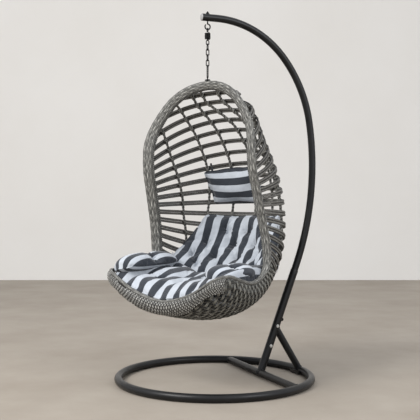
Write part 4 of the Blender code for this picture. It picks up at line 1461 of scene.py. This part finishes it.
def head_cushion():
    """A small pillow on the back, its left edge slanting."""
    rows, cols = 26, 42
    row = np.linspace(8.2, 11.0, rows)
    v = np.linspace(-1, 1, rows)[:, None]
    u = np.linspace(-1, 1, cols)[None]
    left = np.interp(v, (-1, 1), (-0.72, -0.655))
    angle = left + (0.17 - left) * (u + 1) / 2
    here, normal, _ = shell_frames(np.repeat(row, cols), angle.ravel())
    normal = normal.reshape(rows, cols, 3)
    lower = here.reshape(rows, cols, 3) - normal * COVER_GAP
    upper = lower - normal * (0.014 + 0.052 * bulge(u, v, 4))[..., None]
    across = np.broadcast_to(distances(upper[:, cols // 2])[:, None], (rows, cols))
    along = np.broadcast_to(distances(upper[rows // 2])[None], (rows, cols))
    return Cushion(upper, lower, across, along)


def make_cushions():
    """Every striped cover, with its own run of stripes."""
    fabric = fabric_material("striped_cover", STRIPE)
    left = roll_cushion((0.340, -0.314, 0.594), (-0.080, -0.312, 0.604), (0.080, 0.070), 0.24,
                        ((0.0, 0.0), (0.0, 0.6), (0.0, -0.5)))
    right = roll_cushion((0.322, 0.262, 0.578), (0.050, 0.314, 0.586), (0.064, 0.054), -0.15,
                         ((0.0, 0.1),))
    stuffed("seat_cover", seat_cushion(), fabric, "seat_cushion", 3.0, 0.026, 0.05)
    stuffed("back_cover", back_cushion(), fabric, "back_cushion", 3.0, 0.026, 0.06)
    stuffed("arm_cover_left", left, fabric_material("striped_left_cover", 0.060, phase=0.014),
            "arm_cushion_left", 2.5, 0.022, 0.06, piped=False)
    stuffed("arm_cover_right", right,
            fabric_material("striped_right_cover", 0.064, 0.70, phase=0.062),
            "arm_cushion_right", 2.5, 0.022, 0.06, piped=False)
    stuffed("head_cover", head_cushion(),
            fabric_material("striped_head_cover", 0.078, phase=0.002),
            "headrest", 2.5, 0.022, 0.03)


# ---------------------------------------------------------------- straps and ties


def ribbon(bundle, points, faces, width=0.011, thick=0.0014):
    """A flat strip of webbing along a smooth line, its face towards the given directions."""
    line = smooth_line(points)
    step, at, index = resample(line, 0.0025)
    faces = smooth_line(faces)
    towards = np.stack([np.interp(index, np.arange(len(line)), faces[:, k]) for k in range(3)], -1)
    along = tangents(step)
    side = unit(np.cross(along, towards))
    face = unit(np.cross(side, along))
    across = np.array([-0.5, -0.42, 0.0, 0.42, 0.5, 0.42, 0.0, -0.42]) * width
    up = np.array([0.0, 0.5, 0.5, 0.5, 0.0, -0.5, -0.5, -0.5]) * thick
    grid = (step[:, None] + side[:, None] * across[None, :, None]
            + face[:, None] * up[None, :, None])
    bundle.add(grid, at, run=at[:, None], crown=1.0)


def strap_path(row, angle):
    """Round one woven row, from its inner side over the top to its outer side."""
    spots = ((0.30, -0.020), (0.10, -0.014), (-0.22, -0.011), (-0.36, 0.000), (-0.40, 0.014),
             (-0.34, 0.026), (-0.10, 0.0285), (0.20, 0.0285), (0.42, 0.022))
    here, normal, down = (a[0] for a in shell_frames(row, angle))
    points = []
    faces = []
    for turn, (lower, out) in enumerate(spots):
        points.append(here + down * lower * 0.055 + normal * out)
        swing = math.pi * min(max((turn - 1.5) / 4.0, 0), 1)
        faces.append(-normal * math.cos(swing) - down * math.sin(swing))
    return np.array(points), np.array(faces)


def smooth_line(points, count=40):
    table = np.concatenate([np.arange(len(points))[:, None], points], axis=1)
    return track(table, np.linspace(0, len(points) - 1, count))


def add_bow(bundle, angle):
    """Two loops, two tails and a knot on the inner side of the tie."""
    here, normal, down = (a[0] for a in shell_frames(17.62, angle))
    across = np.cross(normal, down)
    knot = here - normal * 0.016
    t = np.linspace(0, 1, 9)[:, None]
    arch = np.sin(np.pi * t)
    for side in (-1, 1):
        loop = (knot + across * side * 0.026 * arch - normal * 0.007 * arch
                + down * (0.011 * np.sin(2 * np.pi * t) - 0.004 * arch))
        face = down * np.cos(np.pi * t) - normal * np.sin(np.pi * t)
        ribbon(bundle, loop, face, TIE_WIDTH)
        tail = (knot + across * side * (0.004 + 0.012 * t) + down * (0.040 * t + 0.004 * np.sin(3 * t))
                - normal * (0.003 + 0.004 * np.sin(4 * t + side)))
        ribbon(bundle, tail, np.repeat(-normal[None], 9, 0), TIE_WIDTH)
    ball = turned_grid(((0.0005, -0.005), (0.0045, -0.0035), (0.006, 0.0), (0.0045, 0.0035),
                        (0.0005, 0.005)), 14)
    bundle.add(ball * np.array([1.0, 0.8, 1.0]) + knot, np.arange(5) * 0.002)


def make_straps(pale, slate):
    """Tapes that hold the headrest, and ties with bows that hold the cushions."""
    for node, angle in (("headrest_strap_left", -0.60), ("headrest_strap_right", 0.06)):
        bundle = Bundle()
        ribbon(bundle, *strap_path(8.0, angle))
        bundle.weave(node + "_webbing", slate, [node], "webbing")
    for node, angle in (("cushion_tie_right", 1.20), ("cushion_tie_left", -1.20)):
        bundle = Bundle()
        ribbon(bundle, *strap_path(18.0, angle), TIE_WIDTH)
        add_bow(bundle, angle)
        bundle.weave(node + "_bow", pale, [node], "webbing")


# ---------------------------------------------------------------- stage, camera, sizes


def make_camera():
    data = bpy.data.cameras.new("camera")
    data.lens = LENS
    data.sensor_width = SENSOR
    camera = link("camera", data)
    camera.location = CAMERA_AT
    camera.rotation_euler = (math.radians(90), 0, math.radians(CAMERA_TURN))
    bpy.context.scene.camera = camera


def panel(name, corners, dark, pale, scale, roughness):
    """A flat, faintly blotched face of the stage."""
    t = Tree(name + "_paint")
    color = t.fade(t.blotches(scale, 6.0, 0.6), dark, pale)
    mesh = bpy.data.meshes.new(name)
    mesh.from_pydata(corners, [], [(0, 1, 2, 3)])
    mesh.materials.append(t.finish(Base_Color=color, Roughness=roughness, Specular_IOR_Level=0.3))
    link(name, mesh)


def area_light(name, at, aim, size, power, color):
    data = bpy.data.lights.new(name, "AREA")
    data.shape = "SQUARE"
    data.size = size
    data.energy = power
    data.color = color
    light = link(name, data)
    light.location = at
    light.rotation_euler = (Vector(aim) - Vector(at)).to_track_quat("-Z", "Y").to_euler()


def make_stage():
    """Pale floor, a wall square to the view, a soft sky and two soft lights."""
    turn = math.radians(CAMERA_TURN)
    view = Vector((-math.sin(turn), math.cos(turn), 0))
    right = Vector((view.y, -view.x, 0)) * 20
    foot = Vector((CAMERA_AT[0], CAMERA_AT[1], 0)) + view * WALL_DISTANCE
    up = Vector((0, 0, 9))
    panel("wall", [foot - right, foot + right, foot + right + up, foot - right + up],
          (0.76, 0.74, 0.70), (0.80, 0.785, 0.755), 0.5, 0.9)
    panel("floor", [(-30, -30, 0), (30, -30, 0), (30, 30, 0), (-30, 30, 0)],
          (0.29, 0.252, 0.208), (0.37, 0.33, 0.28), 1.4, 0.75)
    world = bpy.data.worlds.new("studio")
    bpy.context.scene.world = world
    world.use_nodes = True
    world.node_tree.nodes["Background"].inputs["Color"].default_value = (0.93, 0.95, 1.0, 1)
    world.node_tree.nodes["Background"].inputs["Strength"].default_value = 1.0
    area_light("key", (1.5, -5.0, 4.6), (0, 0, 0.9), 2.6, 330, (1.0, 0.98, 0.95))
    area_light("side", (4.6, 2.0, 3.4), (0, 0, 0.8), 2.6, 90, (0.96, 0.98, 1.0))
    bpy.context.scene.view_settings.view_transform = "Standard"


def make_basket():
    """All the woven parts, each in its own strand."""
    pale = strand_material("grey_flecked_wicker", (0.010, 0.010, 0.009), (0.50, 0.495, 0.46),
                           (0.018, 0.018, 0.017), 0.50, (46.0, 44.0), (0.32, 1.02))
    fine = strand_material("grey_apron_wicker", (0.014, 0.014, 0.013), (0.50, 0.495, 0.465),
                           (0.020, 0.020, 0.019), 0.60, (110.0, 60.0), (0.18, 1.0))
    base = strand_material("base_wicker_strands", (0.008, 0.008, 0.007), (0.45, 0.445, 0.40),
                           (0.03, 0.03, 0.028), 0.60, stops=(0.25, 1.0))
    dark = strand_material("dark_wicker_strands", (0.006, 0.0058, 0.0050), (0.170, 0.163, 0.147),
                           (0.19, 0.185, 0.17), 0.60, stops=(0.42, 1.10))
    cord = strand_material("rib_wicker_strands", (0.008, 0.0078, 0.0070), (0.23, 0.225, 0.205),
                           (0.03, 0.03, 0.028), 0.58, (60.0, 3.0), (0.30, 1.05))
    make_rim(pale)
    ribs = make_ribs(cord)
    make_rows(dark)
    make_lashings(cord, ribs)
    make_base(base)
    make_apron(fine)


def main():
    make_camera()
    make_stage()
    make_basket()
    pole_z = make_stand(painted_steel(), bright_metal(), grey_plastic())
    chain_steel = dark_metal()
    make_hook(pole_z, chain_steel)
    make_chain(make_spring(chain_steel), chain_steel)
    make_cushions()
    make_straps(webbing_material("pale_webbing", (0.46, 0.47, 0.49), (0.72, 0.73, 0.75)),
                webbing_material("slate_webbing", (0.030, 0.033, 0.038), (0.085, 0.09, 0.10)))


main()
